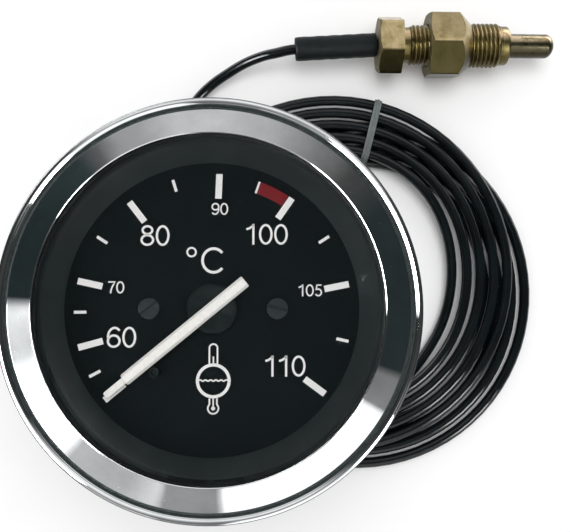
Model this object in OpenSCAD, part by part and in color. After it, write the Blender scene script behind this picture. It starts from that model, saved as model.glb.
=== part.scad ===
// Capillary water temperature gauge. An instrument head clamps into a panel hole,
// and a coiled capillary joins it to a screw-in thermometer bulb. Sizes in millimetres.
// The head stands on its stud tips with the dial facing up, and the coil, the lead and
// the bulb lie beside it on the same surface. The origin is below the head's axis.

/* [Case] */
// Outside diameter of the case, which sets the panel hole
case_od = 60; // [60:0.5:76]
// Sheet thickness of the case
case_t = 0.8; // [0.6:0.1:1]
// Depth of the case behind the panel
case_depth = 40; // [38.5:0.5:60]
// Free length of the mounting studs behind the case
stud_len = 20; // [19:0.5:32]
// Diameter of the mounting studs
stud_d = 4; // [3:0.5:5]
// Distance between the two mounting studs
stud_pitch = 38; // [34:1:42]

/* [Bezel and glass] */
// How far the bezel reaches out past the case
bezel_lap = 3.25; // [2.8:0.05:4.5]
// Height of the bezel above the panel
bezel_h = 10; // [9.8:0.1:13]
// Sheet thickness of the bezel
bezel_t = 0.7; // [0.5:0.1:0.8]
// Width of the sloping bezel face, from its lip to its groove
face_w = 4; // [3:0.1:4.4]
// Thickness of the glass
glass_t = 1.6; // [1:0.1:1.8]

/* [Dial and pointer] */
// Radius of the outer ends of the scale lines
scale_r = 22.6; // [18:0.1:23.2]
// Thickness of the dial plate
dial_t = 0.8; // [0.5:0.1:1]
// Length of the pointer from its axis to its tip
pointer_len = 21.8; // [16:0.1:22.4]
// Width of the pointer blade
pointer_w = 2; // [1.4:0.1:2.4]
// Diameter of the boss that covers the pointer's middle
boss_d = 8.2; // [6:0.1:10]

/* [Movement] */
// Gear module of the pinion and the sector
gear_m = 0.4; // [0.36:0.01:0.42]
// Teeth on the pinion
pinion_z = 14; // [14:1:14]
// Teeth on the full circle that the sector is cut from
sector_z = 84; // [84:1:84]
// Thickness of the movement plates
plate_t = 1.2; // [1:0.1:1.5]
// Mean radius of the pressure tube
bourdon_r = 23.5; // [22.8:0.1:24]
// Height of the flattened pressure tube
bourdon_h = 6; // [4:0.5:6.5]

/* [Capillary] */
// Diameter of the sheathed capillary
cord_d = 2.4; // [1.8:0.1:2.9]
// Radius of the outermost loop of the upper layer
coil_r = 41.2; // [38:0.1:50]
// Least gap between neighbouring loops
coil_gap = 0.45; // [0.42:0.01:0.8]
// How much further apart each loop lies where the coil fans out, on the right
coil_fan = 0.3; // [0:0.05:0.6]
// Thickness of the tie round the coil
tie_t = 0.6; // [0.4:0.1:1]
// Width of the tie
tie_w = 1.6; // [1:0.1:4]

/* [Thermometer bulb] */
// Outside diameter of the male thread that screws into the engine
thread_d = 10; // [8:0.5:12]
// Length of that thread
thread_len = 7; // [5:0.5:14]
// Width across the flats of the adaptor's hexagon
adaptor_af = 14; // [13:0.5:17]
// Length of the adaptor's hexagon
adaptor_len = 9.7; // [9.7:0.1:16]
// Width across the flats of the gland nut
nut_af = 12; // [11:0.5:14]
// Length of the gland nut's hexagon
nut_len = 5.4; // [4:0.1:8]
// Outside diameter of the gland nut's thread
nut_thread_d = 9; // [8:0.25:9.5]
// Diameter of the thermometer bulb
bulb_d = 5.5; // [4.5:0.1:5.8]
// How far the bulb stands out of the adaptor
bulb_out = 10.9; // [6:0.1:30]
// Outside diameter of the sleeve behind the gland nut
boot_d = 5.7; // [4.5:0.1:7]

/* [Hidden] */
$fn = 96;
// Named clearances
fit = 0.05;
loose = 0.3;
slip = 0.45;
eps = 0.01;
// Heights of the head, from the surface up
z_back = stud_len;
z_in = z_back + case_t;
z_seat = z_back + case_depth;
z_front = z_seat + bezel_h;
flange_z = z_seat + bezel_t + fit;
z_dial = z_seat + 2;
z_glass = z_seat + bezel_h - 4.4;
z_glass_top = z_glass + glass_t;
// Radii of the head
case_r = case_od / 2;
case_in = case_r - case_t;
bezel_r = case_r + bezel_lap;
rim_r = 0.93;
groove_r = bezel_r - 2.15;
lip_r = groove_r - face_w;
glass_r = case_r + 0.2;
spacer_r = case_in - 0.2;
dial_r = case_in - 1;
scale_view_r = scale_r + 1.2;
// Scale: angles from 3 o'clock, counter-clockwise, of the lines and of the red band
major_angles = [196, 167.5, 127, 87, 55, 10.5, -36.5];
minor_angles = [208, 180.5, 147.5, 107, 32.5, -13];
start_angle = 219.5;
red_angles = [55, 70.5];
end_angle = major_angles[len(major_angles) - 1];
major_size = [4.15, 1.14];
minor_size = [2.1, 0.55];
ink_t = 0.1;
// Heights of the pointer and what holds it
boss_h = 0.9;
z_boss = z_dial + 0.6;
z_blade = z_boss + boss_h;
blade_t = 1.1;
blade_edge = 0.45;
hub_r = 1.5;
screw_r = 1.7;
dial_screw_x = 10.35;
stop_r = 13.6;
stop_pin_r = 0.9;
stop_gap = 0.1;
stop_angle = start_angle + asin((pointer_w / 2 + stop_pin_r + stop_gap) / stop_r);
// Movement
z_plate = z_back + 16;
z_plate_top = z_plate + plate_t;
z_front_plate = z_plate + 12;
z_front_top = z_front_plate + plate_t;
z_sector = z_plate + 5;
z_link = z_sector + 1.5;
z_bourdon = z_back + 8;
z_pin_top = z_link + 1.1;
pinion_r = gear_m * pinion_z / 2;
sector_r = gear_m * sector_z / 2;
pivot = [0, -(pinion_r + sector_r)];
addendum = 0.8 * gear_m;
dedendum = 1.0 * gear_m;
pressure_angle = 20;
backlash = 0.08;
sweep = start_angle - end_angle;
swing = sweep * pinion_z / sector_z;
arm_r = 4.5;
tail_pin = pivot + arm_r * [-sin(swing / 2), -cos(swing / 2)];
tip_angle = -74;
tip_pin = bourdon_r * [cos(tip_angle), sin(tip_angle)];
tip_half = 4;
post_r = 0.8;
arbor_r = 0.8;
journal_r = 0.5;
pillar_spots = [[-12, 6], [12, 6], [8.5, -17], [-8.5, -17]];
pillar_r = 1.75;
// Spring and its anchor
spring_r0 = 1.7;
collet_r = 1.3;
spring_r1 = 6;
spring_turns = 4;
spring_t = 0.2;
spring_h = 0.8;
z_spring = z_front_plate - 2.8;
spring_angle = 25;
// Capillary entry: the gland, and the socket that it screws into
gland_r = 22.8;
gland_angle = 143.8;
gland_at = gland_r * [cos(gland_angle), sin(gland_angle)];
gland_h = 2.8;
gland_af = 8;
neck_r = 2.5;
socket_half = 19.5;
socket_in = 19.2;
socket_out = 27;
socket_screw_half = 14.8;
socket_screw_r = 1.5;
core_r = 0.6;
// Studs, clamp and lamp
stud_x = stud_pitch / 2;
nut_h = 2.8;
z_thumb = 6.6;
thumb_h = 3.2;
thumb_r = 5;
washer_t = 0.5;
z_washer = z_thumb + thumb_h;
z_bracket = z_washer + washer_t;
bracket_t = 1.2;
bracket_w = 12;
leg_x = case_r + 1;
z_feet = z_seat - 6;
lamp_at = [-17.5, -13.5];
lamp_hole_r = 5.1;
// Coil: two layers of a flat spiral, wound clockwise seen from above. The upper layer winds
// in round coil_a. The tube drops to the lower layer in the quarter turn before the spiral
// reverses, moves across to coil_b in the quarter turn after it, and winds out again. The
// loops lie closest at the tie.
pitch = cord_d + coil_gap;
z_lower = tie_t + 0.1 + cord_d / 2;
z_upper = z_lower + pitch;
start_turn = 155;
reverse_at = 4 + (start_turn + 36) / 360;
end_at = 9 + (start_turn - 180) / 360;
rings = 24;
heading = [sin(start_turn), -cos(start_turn)];
tail_run = 12.2;
coil_a = gland_at + (tail_run + cord_d) * heading - coil_r * [cos(start_turn), sin(start_turn)];
coil_b = coil_a + [5.4, -3.4];
// Route of the tail in its upright plane, from the gland down: distance along, height
tail_route = [[0, 14.6], [0.6, 11.2], [2.3, 8.2], [4.9, 6.1], [8, 4.9]];
// Route of the lead from the coil to the sleeve, and on through it and the nut to the bulb
lead_route = [
  [-10.8, 13.5, 1.9], [-11.5, 19, 1.9], [-12.2, 24.5, 1.9], [-12.6, 30, 1.9],
  [-12.6, 35.5, 1.9], [-11.8, 41, 1.9], [-10, 46, 2], [-7.4, 50.6, 2.2],
  [-4, 54, 2.7], [0, 56.6, 3.7], [4, 58.6, 5.1], [8, 59.8, 6.6], [11, 60.3, 7.4]
];
sensor_y = 62.3;
boot_sag = 1.2;
// Thermometer end: places along the bulb's axis
adaptor_x = 46.1;
adaptor_roll = 10.5;
adaptor_end_r = max(thread_d / 2, nut_thread_d / 2 + 0.45);
nut_roll = 25.5;
sensor_z = adaptor_af / 2 / cos(30) * cos(adaptor_roll);
adaptor_end = adaptor_x + adaptor_len;
thread_end = adaptor_end + thread_len;
pilot_len = 2;
pilot_r = thread_d / 2 - 0.6;
nose_len = 2.1;
pilot_end = thread_end + pilot_len;
nut_gap = 6;
nut_neck = 1.9;
nut_x1 = adaptor_x - nut_gap;
nut_x0 = nut_x1 - nut_len;
nut_travel = 5;
nut_bore_r = cord_d / 2 + 0.4;
nut_thread_r = nut_thread_d / 2;
nut_thread_end = adaptor_x + 2.4;
washer_x = nut_thread_end + nut_travel + loose;
bulb_x = washer_x + 0.6;
shoulder_x = bulb_x + 1.2;
boot_x1 = nut_x0 - loose;
boot_x0 = boot_x1 - 18.7;
boot_z = sensor_z;

// Point on a circle
function polar(r, a) = [r * cos(a), r * sin(a)];
function unit(v) = v / norm(v);
function lift(p, z) = [p[0], p[1], z];
function step(t) = t <= 0 ? 0 : t >= 1 ? 1 : t * t * (3 - 2 * t);

// Coil centreline after s turns from its outer end
function coil_angle(s) = start_turn - 360 * s;
function coil_fanned(s) = pitch + coil_fan * pow(max(0, cos(coil_angle(s))), 4);
function coil_radius(s) = coil_r - (reverse_at - abs(s - reverse_at)) * coil_fanned(s);
function coil_point(s) =
  let (across = step(4 * (s - reverse_at)), drop = step(4 * (s - reverse_at) + 1))
  lift(coil_a + across * (coil_b - coil_a) + polar(coil_radius(s), coil_angle(s)),
       z_upper - drop * pitch);
function coil_way(s) = unit(coil_point(s + 0.001) - coil_point(s - 0.001));
coil_steps = floor(end_at * rings);
coil_turns = [for (i = [0:coil_steps]) coil_point(i / rings), coil_point(end_at)];
coil_way_out = coil_way(end_at);
coil_first = coil_turns[0] - cord_d * lift(heading, 0);
coil_last = coil_turns[len(coil_turns) - 1] + cord_d * coil_way_out;
coil_path = concat([coil_first], coil_turns, [coil_last]);
least_gap = min([
  for (i = [0:len(coil_turns) - 1], j = [i + rings / 2:1:len(coil_turns) - 1])
    norm(coil_turns[i] - coil_turns[j])
]) - cord_d;
function path_len(p) = len(p) < 2 ? 0 : sum([for (i = [1:len(p) - 1]) norm(p[i] - p[i - 1])]);
function sum(v, i = 0) = i >= len(v) ? 0 : v[i] + sum(v, i + 1);
echo(least_gap_of_the_coil = least_gap, coil_length = path_len(coil_path));

// Distances from coil_a at which the loops of one layer pass below the tie
tie_angle = 79;
tie_way = polar(1, tie_angle);
function tie_spots(z) = [
  for (p = coil_turns)
    let (q = [p[0], p[1]] - coil_a)
      if (abs(p[2] - z) < 0.2 && abs(cross(q, tie_way)) < 6 && q * tie_way > 0) q * tie_way
];

// Tail and lead centrelines
gland_bottom = z_back - gland_h;
tail_points = concat(
  [lift(gland_at, gland_bottom)],
  [for (p = tail_route) lift(gland_at + p[0] * heading, p[1])],
  [lift(gland_at + (tail_run - cord_d) * heading, z_upper), coil_first]
);
boot_left = [boot_x0, sensor_y - boot_sag, boot_z];
boot_right = [boot_x1, sensor_y, sensor_z];
lead_points = concat(
  [coil_last, coil_last + cord_d * coil_way_out], lead_route,
  [boot_left, (boot_left + boot_right) / 2, boot_right, [bulb_x, sensor_y, sensor_z]]
);

// Smooth tube along a list of points, made of triangles. side_ref is any direction that
// the tube never runs along.
module tube(points, r, sides, side_ref = [0, 0, 1]) {
  n = len(points);
  ways = [for (i = [0:n - 1]) unit(points[min(i + 1, n - 1)] - points[max(i - 1, 0)])];
  skin = [
    for (i = [0:n - 1], k = [0:sides - 1])
      let (a = unit(cross(side_ref, ways[i])), b = cross(ways[i], a), q = 360 * k / sides)
        points[i] + r * (cos(q) * a + sin(q) * b)
  ];
  last = (n - 1) * sides;
  walls = [
    for (i = [0:n - 2], k = [0:sides - 1])
      let (p = i * sides + k, q = i * sides + (k + 1) % sides)
        each [[p, p + sides, q + sides], [p, q + sides, q]]
  ];
  caps = [for (k = [1:sides - 2]) each [[0, k, k + 1], [last, last + k + 1, last + k]]];
  polyhedron(skin, concat(walls, caps));
}

// Disc or short pillar standing at p, from height z0 to z1
module post(p, z0, z1, r) {
  translate([p[0], p[1], z0]) cylinder(h = z1 - z0, r = r);
}

// Ring from radius r0 to r1
module ring(r0, r1, z0, z1) {
  translate([0, 0, z0]) difference() {
    cylinder(h = z1 - z0, r = r1);
    translate([0, 0, -1]) cylinder(h = z1 - z0 + 2, r = r0);
  }
}

// Flat bar with round ends between two points
module bar(p, q, r, t) {
  d = q - p;
  linear_extrude(t) {
    translate(p) circle(r = r);
    translate(q) circle(r = r);
    translate(p) rotate(atan2(d[1], d[0])) translate([0, -0.97 * r]) square([norm(d), 1.94 * r]);
  }
}

// Part of a flat ring between two angles, standing from z0 to z1
module wedge(r0, r1, a0, a1, z0, z1) {
  translate([0, 0, z0]) rotate([0, 0, a0])
    rotate_extrude(angle = a1 - a0) translate([r0, 0]) square([r1 - r0, z1 - z0]);
}

// Hexagonal nut body along +Z, with both ends chamfered. Its far end can have a steeper chamfer
// that runs down to a given radius.
module hex_body(af, h, far_r = 0, far_slope = 30) {
  rc = af / 2 / cos(30);
  edge = rc * 0.88;
  far_edge = far_r > 0 ? far_r : edge;
  rise = (rc - edge) * tan(30);
  far_rise = (rc - far_edge) * tan(far_slope);
  intersection() {
    cylinder(h = h, r = rc, $fn = 6);
    rotate_extrude() polygon([[0, 0], [edge, 0], [rc, rise], [rc, h - far_rise], [far_edge, h], [0, h]]);
  }
}

// Threaded rod along +Z, drawn as rings with flat crests
module thread(r, h, thread_pitch) {
  depth = 0.6 * thread_pitch;
  crest = 0.2 * thread_pitch;
  turns = floor(h / thread_pitch);
  land = h - turns * thread_pitch;
  rotate_extrude() polygon(concat(
    [[0, 0]],
    [for (i = [0:turns - 1]) each [
      [r - depth, i * thread_pitch],
      [r, i * thread_pitch + (thread_pitch - crest) / 2],
      [r, i * thread_pitch + (thread_pitch + crest) / 2]
    ]],
    [[r - depth, turns * thread_pitch], [r - depth, h + (land > 0 ? 0 : eps)], [0, h + (land > 0 ? 0 : eps)]]
  ));
}

// Cheese-head screw with a slot, head down or up, along Z at p
module slot_screw(p, z0, head_h, head_r, shank_r, shank_to, slot_angle) {
  difference() {
    translate([p[0], p[1], min(z0, z0 + head_h)]) cylinder(h = abs(head_h), r = head_r);
    translate([p[0], p[1], z0 + head_h]) rotate([0, 0, slot_angle]) cube([3 * head_r, 0.4, 0.7], center = true);
  }
  translate([p[0], p[1], min(z0, shank_to)]) cylinder(h = abs(shank_to - z0), r = shank_r);
}

// Gear tooth flank: half the tooth's angle at radius r, for a gear of pitch radius rp
function roll(a) = tan(a) * 180 / PI - a;
function half_tooth(r, rp, z) =
  let (rb = rp * cos(pressure_angle), a = r > rb ? acos(rb / r) : 0)
  90 / z - backlash / 4 / rp * 180 / PI + roll(pressure_angle) - roll(a);
function tooth_radii(rp) = [rp - dedendum, rp - 0.5 * dedendum, rp, rp + addendum / 2, rp + addendum];
function teeth(rp, z, first, last, turn) = [
  for (k = [first:last])
    let (mid = turn + k * 360 / z)
      each concat(
        [for (r = tooth_radii(rp)) polar(r, mid - half_tooth(r, rp, z))],
        [for (i = [4:-1:0]) let (r = tooth_radii(rp)[i]) polar(r, mid + half_tooth(r, rp, z))]
      )
];

module case_shell() {
  color("#1b1d1e") difference() {
    union() {
      post([0, 0], z_back, flange_z + case_t, case_r);
      post([0, 0], flange_z, flange_z + case_t, bezel_r - bezel_t - 0.15);
    }
    post([0, 0], z_in, flange_z + 2, case_in);
    post(gland_at, z_back - 1, z_in + 1, neck_r + 0.1);
    post(lamp_at, z_back - 1, z_in + 1, lamp_hole_r);
    for (s = [-1, 1]) post([s * stud_x, 0], z_back - 1, z_in + 1, stud_d / 2 + 0.1);
    for (p = pillar_spots) post(p, z_back - 1, z_in + 1, 1.1);
    for (s = [-1, 1])
      post(polar(gland_r, gland_angle + s * socket_screw_half), z_back - 1, z_in + 1, 1.1);
  }
}

module bezel() {
  rim_at = [bezel_r - rim_r, bezel_h - 2.7];
  slope = 0.55;
  lip_z = bezel_h - 0.15;
  face_low = lip_z - slope * (face_w - 0.5);
  under = 0.85 * bezel_t / 0.7;
  color("#c8ccce") translate([0, 0, z_seat]) rotate_extrude() polygon(concat(
    [[case_r + 0.8, 0], [bezel_r - 0.4, 0], [bezel_r, 0.4], [bezel_r, rim_at[1]]],
    [for (a = [15:15:150]) rim_at + polar(rim_r, a)],
    [
      [groove_r, face_low - 0.15], [groove_r - 0.3, face_low], [lip_r + 0.3, lip_z - 0.02],
      [lip_r + 0.1, bezel_h], [lip_r - 0.15, bezel_h], [lip_r - 0.3, lip_z],
      [lip_r - 0.3, lip_z - 0.7], [lip_r + 0.2, lip_z - 0.7], [lip_r + 0.3, lip_z - under],
      [groove_r - 0.3, face_low - under], [bezel_r - bezel_t, rim_at[1] - 0.3],
      [bezel_r - bezel_t, bezel_t], [case_r + 0.8, bezel_t]
    ]
  ));
}

module bezel_gasket() {
  slope = 0.55;
  top = z_front - 0.15 - 0.9 * bezel_t / 0.7;
  inner = lip_r;
  outer = min(glass_r - 0.4, lip_r + 0.3 + (top - z_glass_top - 0.35) / slope);
  color("#101112") rotate_extrude() polygon([
    [inner, z_glass_top], [outer, z_glass_top], [outer, z_glass_top + 0.3],
    [lip_r + 0.3, top - 0.05], [inner, top - 0.05]
  ]);
}

module front_glass() {
  color("#dfe8ea", 0.35) post([0, 0], z_glass, z_glass_top, glass_r);
}

// Black cone between the dial and the glass
module spacer_ring() {
  color("#2a3032") rotate_extrude() polygon([
    [scale_view_r, z_dial], [spacer_r, z_dial], [spacer_r, z_glass], [lip_r - 0.4, z_glass]
  ]);
}

module case_seal() {
  color("#151616") ring(case_in + 0.1, bezel_r - bezel_t - 0.25, flange_z + case_t, z_glass);
}

module dial_plate() {
  color("#0f1415") difference() {
    post([0, 0], z_dial - dial_t, z_dial, dial_r);
    post([0, 0], z_dial - 2, z_dial + 1, 2.2);
    for (s = [-1, 1]) post([s * dial_screw_x, 0], z_dial - 2, z_dial + 1, 1.1);
    post(polar(stop_r, stop_angle), z_dial - 2, z_dial + 1, 0.5 + fit);
  }
}

// Printed lines of the scale, and the sign of a thermometer standing in water
module dial_scale() {
  sign_y = -11.3;
  sign_r = 2.7;
  color("#e8e8e6") translate([0, 0, z_dial]) {
    for (a = major_angles) rotate([0, 0, a]) scale_line(major_size);
    rotate([0, 0, start_angle]) scale_line(major_size);
    for (a = minor_angles) rotate([0, 0, a]) scale_line(minor_size);
    translate([0, sign_y, 0]) difference() {
      cylinder(h = ink_t, r = sign_r + 0.25);
      translate([0, 0, -1]) cylinder(h = 2, r = sign_r - 0.25);
    }
    translate([-0.8, sign_y + sign_r + 0.6, 0]) cube([1.6, 2.6, ink_t]);
    translate([-0.8, sign_y - sign_r - 1.2, 0]) cube([1.6, 0.8, ink_t]);
    translate([0, sign_y - sign_r - 1.9, 0]) cylinder(h = ink_t, r = 1);
  }
}

module scale_line(size) {
  translate([scale_r - size[0], -size[1] / 2, 0]) cube([size[0], size[1], ink_t]);
}

module red_zone() {
  edge = asin(major_size[1] / 2 / scale_r) + 0.3;
  color("#6d1b20")
    wedge(scale_r - minor_size[0], scale_r, red_angles[0] + edge, red_angles[1], z_dial, z_dial + ink_t);
}

module dial_screws() {
  color("#1a1c1d") {
    slot_screw([-dial_screw_x, 0], z_dial, 0.85, screw_r, 0.9, z_dial - 4, 37);
    slot_screw([dial_screw_x, 0], z_dial, 0.85, screw_r, 0.9, z_dial - 4, -15);
  }
}

module stop_pin() {
  color("#3a3d3e") {
    post(polar(stop_r, stop_angle), z_dial, z_blade + blade_t - blade_edge, stop_pin_r);
    post(polar(stop_r, stop_angle), z_dial - dial_t, z_dial, 0.5);
  }
}

// Bar along X from x0 to x1, w wide, whose sides slope in towards the top
module bevelled_bar(x0, x1, w, h, edge) {
  translate([x0, 0, 0]) rotate([90, 0, 90]) linear_extrude(x1 - x0) polygon([
    [-w / 2, 0], [w / 2, 0], [w / 2, h - edge], [w / 2 - edge, h], [edge - w / 2, h], [-w / 2, h - edge]
  ]);
}

// Pointer bar glued across the boss, with its narrow tip let into the end
module pointer_blade() {
  tip_w = 1.1;
  shoulder = pointer_len - 3.9;
  color("#e6e4da") translate([0, 0, z_blade]) rotate([0, 0, start_angle]) {
    bevelled_bar(-6.9, shoulder, pointer_w, blade_t, blade_edge);
    translate([shoulder - 1, -tip_w / 2, 0]) cube([pointer_len - shoulder + 1, tip_w, 0.4]);
  }
}

module pointer_boss() {
  color("#15191a") difference() {
    union() {
      post([0, 0], z_boss, z_blade, boss_d / 2);
      post([0, 0], z_dial - 1, z_boss + 0.1, hub_r);
    }
    post([0, 0], z_dial - 2, z_blade - 0.3, arbor_r);
  }
}

module pinion_arbor() {
  color("#b5a27a") {
    translate([0, 0, z_sector - 1.5])
      linear_extrude(4.4) polygon(teeth(pinion_r, pinion_z, 0, pinion_z - 1, -90));
    post([0, 0], z_plate - 0.1, z_plate_top + 0.3, journal_r);
    post([0, 0], z_plate_top + 0.2, z_blade - 0.3, arbor_r);
    post([0, 0], z_spring - 0.6, z_spring + 1, collet_r);
  }
}

// Flat spiral spring from the pinion's collet out to its anchor
module hairspring() {
  steps = spring_turns * 24;
  grow = (spring_r1 - spring_r0) / steps;
  start = spring_angle - 360 * spring_turns;
  color("#7f8f9a") translate([0, 0, z_spring]) {
    linear_extrude(spring_h) polygon(concat(
      [for (i = [0:steps]) polar(spring_r0 + grow * i + spring_t / 2, start + 15 * i)],
      [for (i = [steps:-1:0]) polar(spring_r0 + grow * i - spring_t / 2, start + 15 * i)]
    ));
    rotate([0, 0, start]) translate([collet_r + 0.02, -0.1, 0]) cube([0.4, 0.3, spring_h]);
  }
}

module hairspring_stud() {
  at = polar(spring_r1 + 0.7, spring_angle);
  color("#b5a27a") post(at, z_spring - 0.2, z_front_plate, 0.6);
}

// Toothed sector, its hub, its tail and the pin that the link hangs on
module sector_gear() {
  gear_t = 1.2;
  turn = 90;
  rest = 90 - swing / 2;
  rim_in = sector_r - 2;
  half_span = 27.8;
  first = -13;
  last = 0;
  outline = concat(
    teeth(sector_r, sector_z, first, last, turn + 180 / sector_z),
    [for (a = [rest + half_span:-half_span / 8:rest - half_span]) polar(rim_in, a)]
  );
  color("#b09a5c") translate([pivot[0], pivot[1], z_sector]) difference() {
    union() {
      linear_extrude(gear_t) polygon(outline);
      for (s = [-1, 0, 1]) bar([0, 0], polar(rim_in + 0.6, rest + s * 24), 0.8, gear_t);
      cylinder(h = gear_t, r = 2.6);
      bar([0, 0], tail_pin - pivot, 1.3, gear_t);
      translate([tail_pin[0] - pivot[0], tail_pin[1] - pivot[1], 0]) cylinder(h = z_pin_top - z_sector, r = journal_r);
    }
    translate([0, 0, -1]) cylinder(h = 4, r = arbor_r);
  }
}

module sector_arbor() {
  color("#8d8a80") {
    post(pivot, z_plate - 0.1, z_front_top + 0.1, journal_r);
    post(pivot, z_plate_top + 0.2, z_front_plate - 0.2, arbor_r);
  }
}

module tip_link() {
  link_t = 0.8;
  color("#b5a27a") translate([0, 0, z_link]) difference() {
    union() {
      bar(tip_pin, tail_pin, 0.9, link_t);
      translate(tip_pin) cylinder(h = link_t, r = 1.7);
      translate(tail_pin) cylinder(h = link_t, r = 1.6);
    }
    translate([tip_pin[0], tip_pin[1], -1]) cylinder(h = 3, r = post_r + fit);
    translate([tail_pin[0], tail_pin[1], -1]) cylinder(h = 3, r = journal_r + 0.35);
  }
}

// Flattened tube bent to a C, hollow, from the socket clockwise to its closed end
module bourdon_tube() {
  half_w = 0.9;
  wall = 0.3;
  from = tip_angle + tip_half;
  to = gland_angle - socket_half;
  color("#a98f52") difference() {
    wedge(bourdon_r - half_w, bourdon_r + half_w, from, to, z_bourdon, z_bourdon + bourdon_h);
    wedge(bourdon_r - half_w + wall, bourdon_r + half_w - wall, from - 1, to + 1,
          z_bourdon + wall, z_bourdon + bourdon_h - wall);
  }
}

module bourdon_end() {
  color("#b5a27a") {
    wedge(bourdon_r - 1.2, bourdon_r + 1.2, tip_angle - tip_half, tip_angle + tip_half,
          z_bourdon - 0.2, z_bourdon + bourdon_h + 0.2);
    post(tip_pin, z_bourdon + bourdon_h, z_pin_top, post_r);
  }
}

// Block that joins the capillary to the pressure tube
module socket_block() {
  color("#a8966e") difference() {
    wedge(socket_in, socket_out, gland_angle - socket_half, gland_angle + socket_half, z_in, z_plate);
    post(gland_at, z_in - 1, z_in + 3, neck_r);
    post(gland_at, z_in, z_bourdon + 3, core_r + fit);
    for (s = [-1, 1])
      post(polar(gland_r, gland_angle + s * socket_screw_half), z_in - 1, z_in + 6, 0.9);
  }
}

module socket_screws() {
  color("#8f9496") for (s = [-1, 1])
    slot_screw(polar(gland_r, gland_angle + s * socket_screw_half), z_back, -1.1, socket_screw_r, 0.9, z_in + 5.5, 30);
}

// Outline at distance r round a convex list of corners, listed clockwise
function facing(p, q) = atan2(q[1] - p[1], q[0] - p[0]) + 90;
function rounded(c, r) = [
  for (i = [0:len(c) - 1])
    let (
      n = len(c),
      from = facing(c[(i + n - 1) % n], c[i]),
      to = facing(c[i], c[(i + 1) % n]),
      turn = (from - to + 720) % 360
    )
      for (k = [0:6]) c[i] + polar(r, from - turn * k / 6)
];

module plate_shape(z) {
  corners = [pivot, pillar_spots[3], pillar_spots[0], pillar_spots[1], pillar_spots[2]];
  translate([0, 0, z]) linear_extrude(plate_t) polygon(rounded(corners, 3));
}

module back_plate() {
  color("#b09a5c") difference() {
    plate_shape(z_plate);
    post([0, 0], z_plate - 1, z_plate_top + 1, journal_r + fit);
    post(pivot, z_plate - 1, z_plate_top + 1, journal_r + fit);
    for (p = pillar_spots) post(p, z_plate - 1, z_plate_top + 1, 0.9);
  }
}

module front_plate() {
  color("#b09a5c") difference() {
    plate_shape(z_front_plate);
    post([0, 0], z_front_plate - 1, z_front_top + 1, arbor_r + fit);
    post(pivot, z_front_plate - 1, z_front_top + 1, journal_r + fit);
    for (p = pillar_spots) post(p, z_front_plate - 1, z_front_top + 1, 0.9);
  }
}

module plate_pillars() {
  color("#b5a27a") for (p = pillar_spots) difference() {
    post(p, z_plate_top, z_front_plate, pillar_r);
    post(p, z_front_plate - 4, z_front_plate + 1, 0.8);
  }
}

module pillar_screws() {
  color("#8f9496") for (p = pillar_spots)
    slot_screw(p, z_front_top, 1.1, 1.6, 0.8, z_front_plate - 3.5, 45);
}

module standoffs() {
  color("#9aa0a2") for (p = pillar_spots) difference() {
    post(p, z_in, z_plate, pillar_r);
    post(p, z_in - 1, z_in + 6, 0.9);
  }
}

module case_screws() {
  color("#8f9496") for (p = pillar_spots)
    slot_screw(p, z_back, -1.1, 1.7, 0.9, z_in + 5.5, 20);
}

module dial_posts() {
  color("#b5a27a") for (s = [-1, 1]) difference() {
    post([s * dial_screw_x, 0], z_front_top, z_dial - dial_t, 1.6);
    post([s * dial_screw_x, 0], z_dial - 5, z_dial, 0.9);
  }
}

// Studs with square heads inside the case
module mounting_studs() {
  head = 6.4;
  color("#9aa0a2") for (s = [-1, 1]) {
    post([s * stud_x, 0], 0, z_in + 1, stud_d / 2);
    translate([s * stud_x - head / 2, -head / 2, z_in]) cube([head, head, 2.2]);
  }
}

module stud_nuts() {
  color("#b4b8ba") for (s = [-1, 1]) difference() {
    translate([s * stud_x, 0, z_back - nut_h]) hex_body(7, nut_h);
    post([s * stud_x, 0], z_back - nut_h - 1, z_back + 1, stud_d / 2);
  }
}

// U-shaped strap whose feet press on the back of the panel
module clamp_bracket() {
  foot = 0.6;
  color("#a5aaac") difference() {
    union() {
      translate([-leg_x - bracket_t, -bracket_w / 2, z_bracket])
        cube([2 * (leg_x + bracket_t), bracket_w, bracket_t]);
      for (s = [-1, 1])
        translate([s * (leg_x + bracket_t / 2) - bracket_t / 2, -bracket_w / 2, z_bracket])
          cube([bracket_t, bracket_w, z_feet - z_bracket]);
      for (s = [-1, 1])
        translate([s * (leg_x + bracket_t / 2) - bracket_t / 2 - (s > 0 ? foot : 0), -bracket_w / 2, z_feet - 1.2])
          cube([bracket_t + foot, bracket_w, 1.2]);
    }
    for (s = [-1, 1]) post([s * stud_x, 0], z_bracket - 1, z_bracket + 3, stud_d / 2 + loose);
    for (s = [-1, 1])
      translate([s * leg_x - 3, 0, z_bracket + 24]) rotate([0, 90, 0]) cylinder(h = 8, r = 2.5);
  }
}

module clamp_washers() {
  color("#c2c6c8") for (s = [-1, 1])
    translate([s * stud_x, 0, 0]) ring(stud_d / 2 + 0.15, 4.2, z_washer, z_bracket);
}

// Knurled nut that tightens the bracket
module thumb_nut(x) {
  ridges = 32;
  depth = 0.35;
  color("#b5a27a") translate([x, 0, z_thumb]) difference() {
    intersection() {
      linear_extrude(thumb_h) polygon([
        for (i = [0:2 * ridges - 1]) polar(thumb_r - (i % 2) * depth, 180 * i / ridges)
      ]);
      rotate_extrude() polygon([
        [0, 0], [thumb_r - 0.5, 0], [thumb_r + 0.1, 0.6], [thumb_r + 0.1, thumb_h - 0.6],
        [thumb_r - 0.5, thumb_h], [0, thumb_h]
      ]);
    }
    translate([0, 0, -1]) cylinder(h = thumb_h + 2, r = stud_d / 2 + fit);
  }
}

module thumb_nut_left() {
  thumb_nut(-stud_x);
}

module thumb_nut_right() {
  thumb_nut(stud_x);
}

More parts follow.
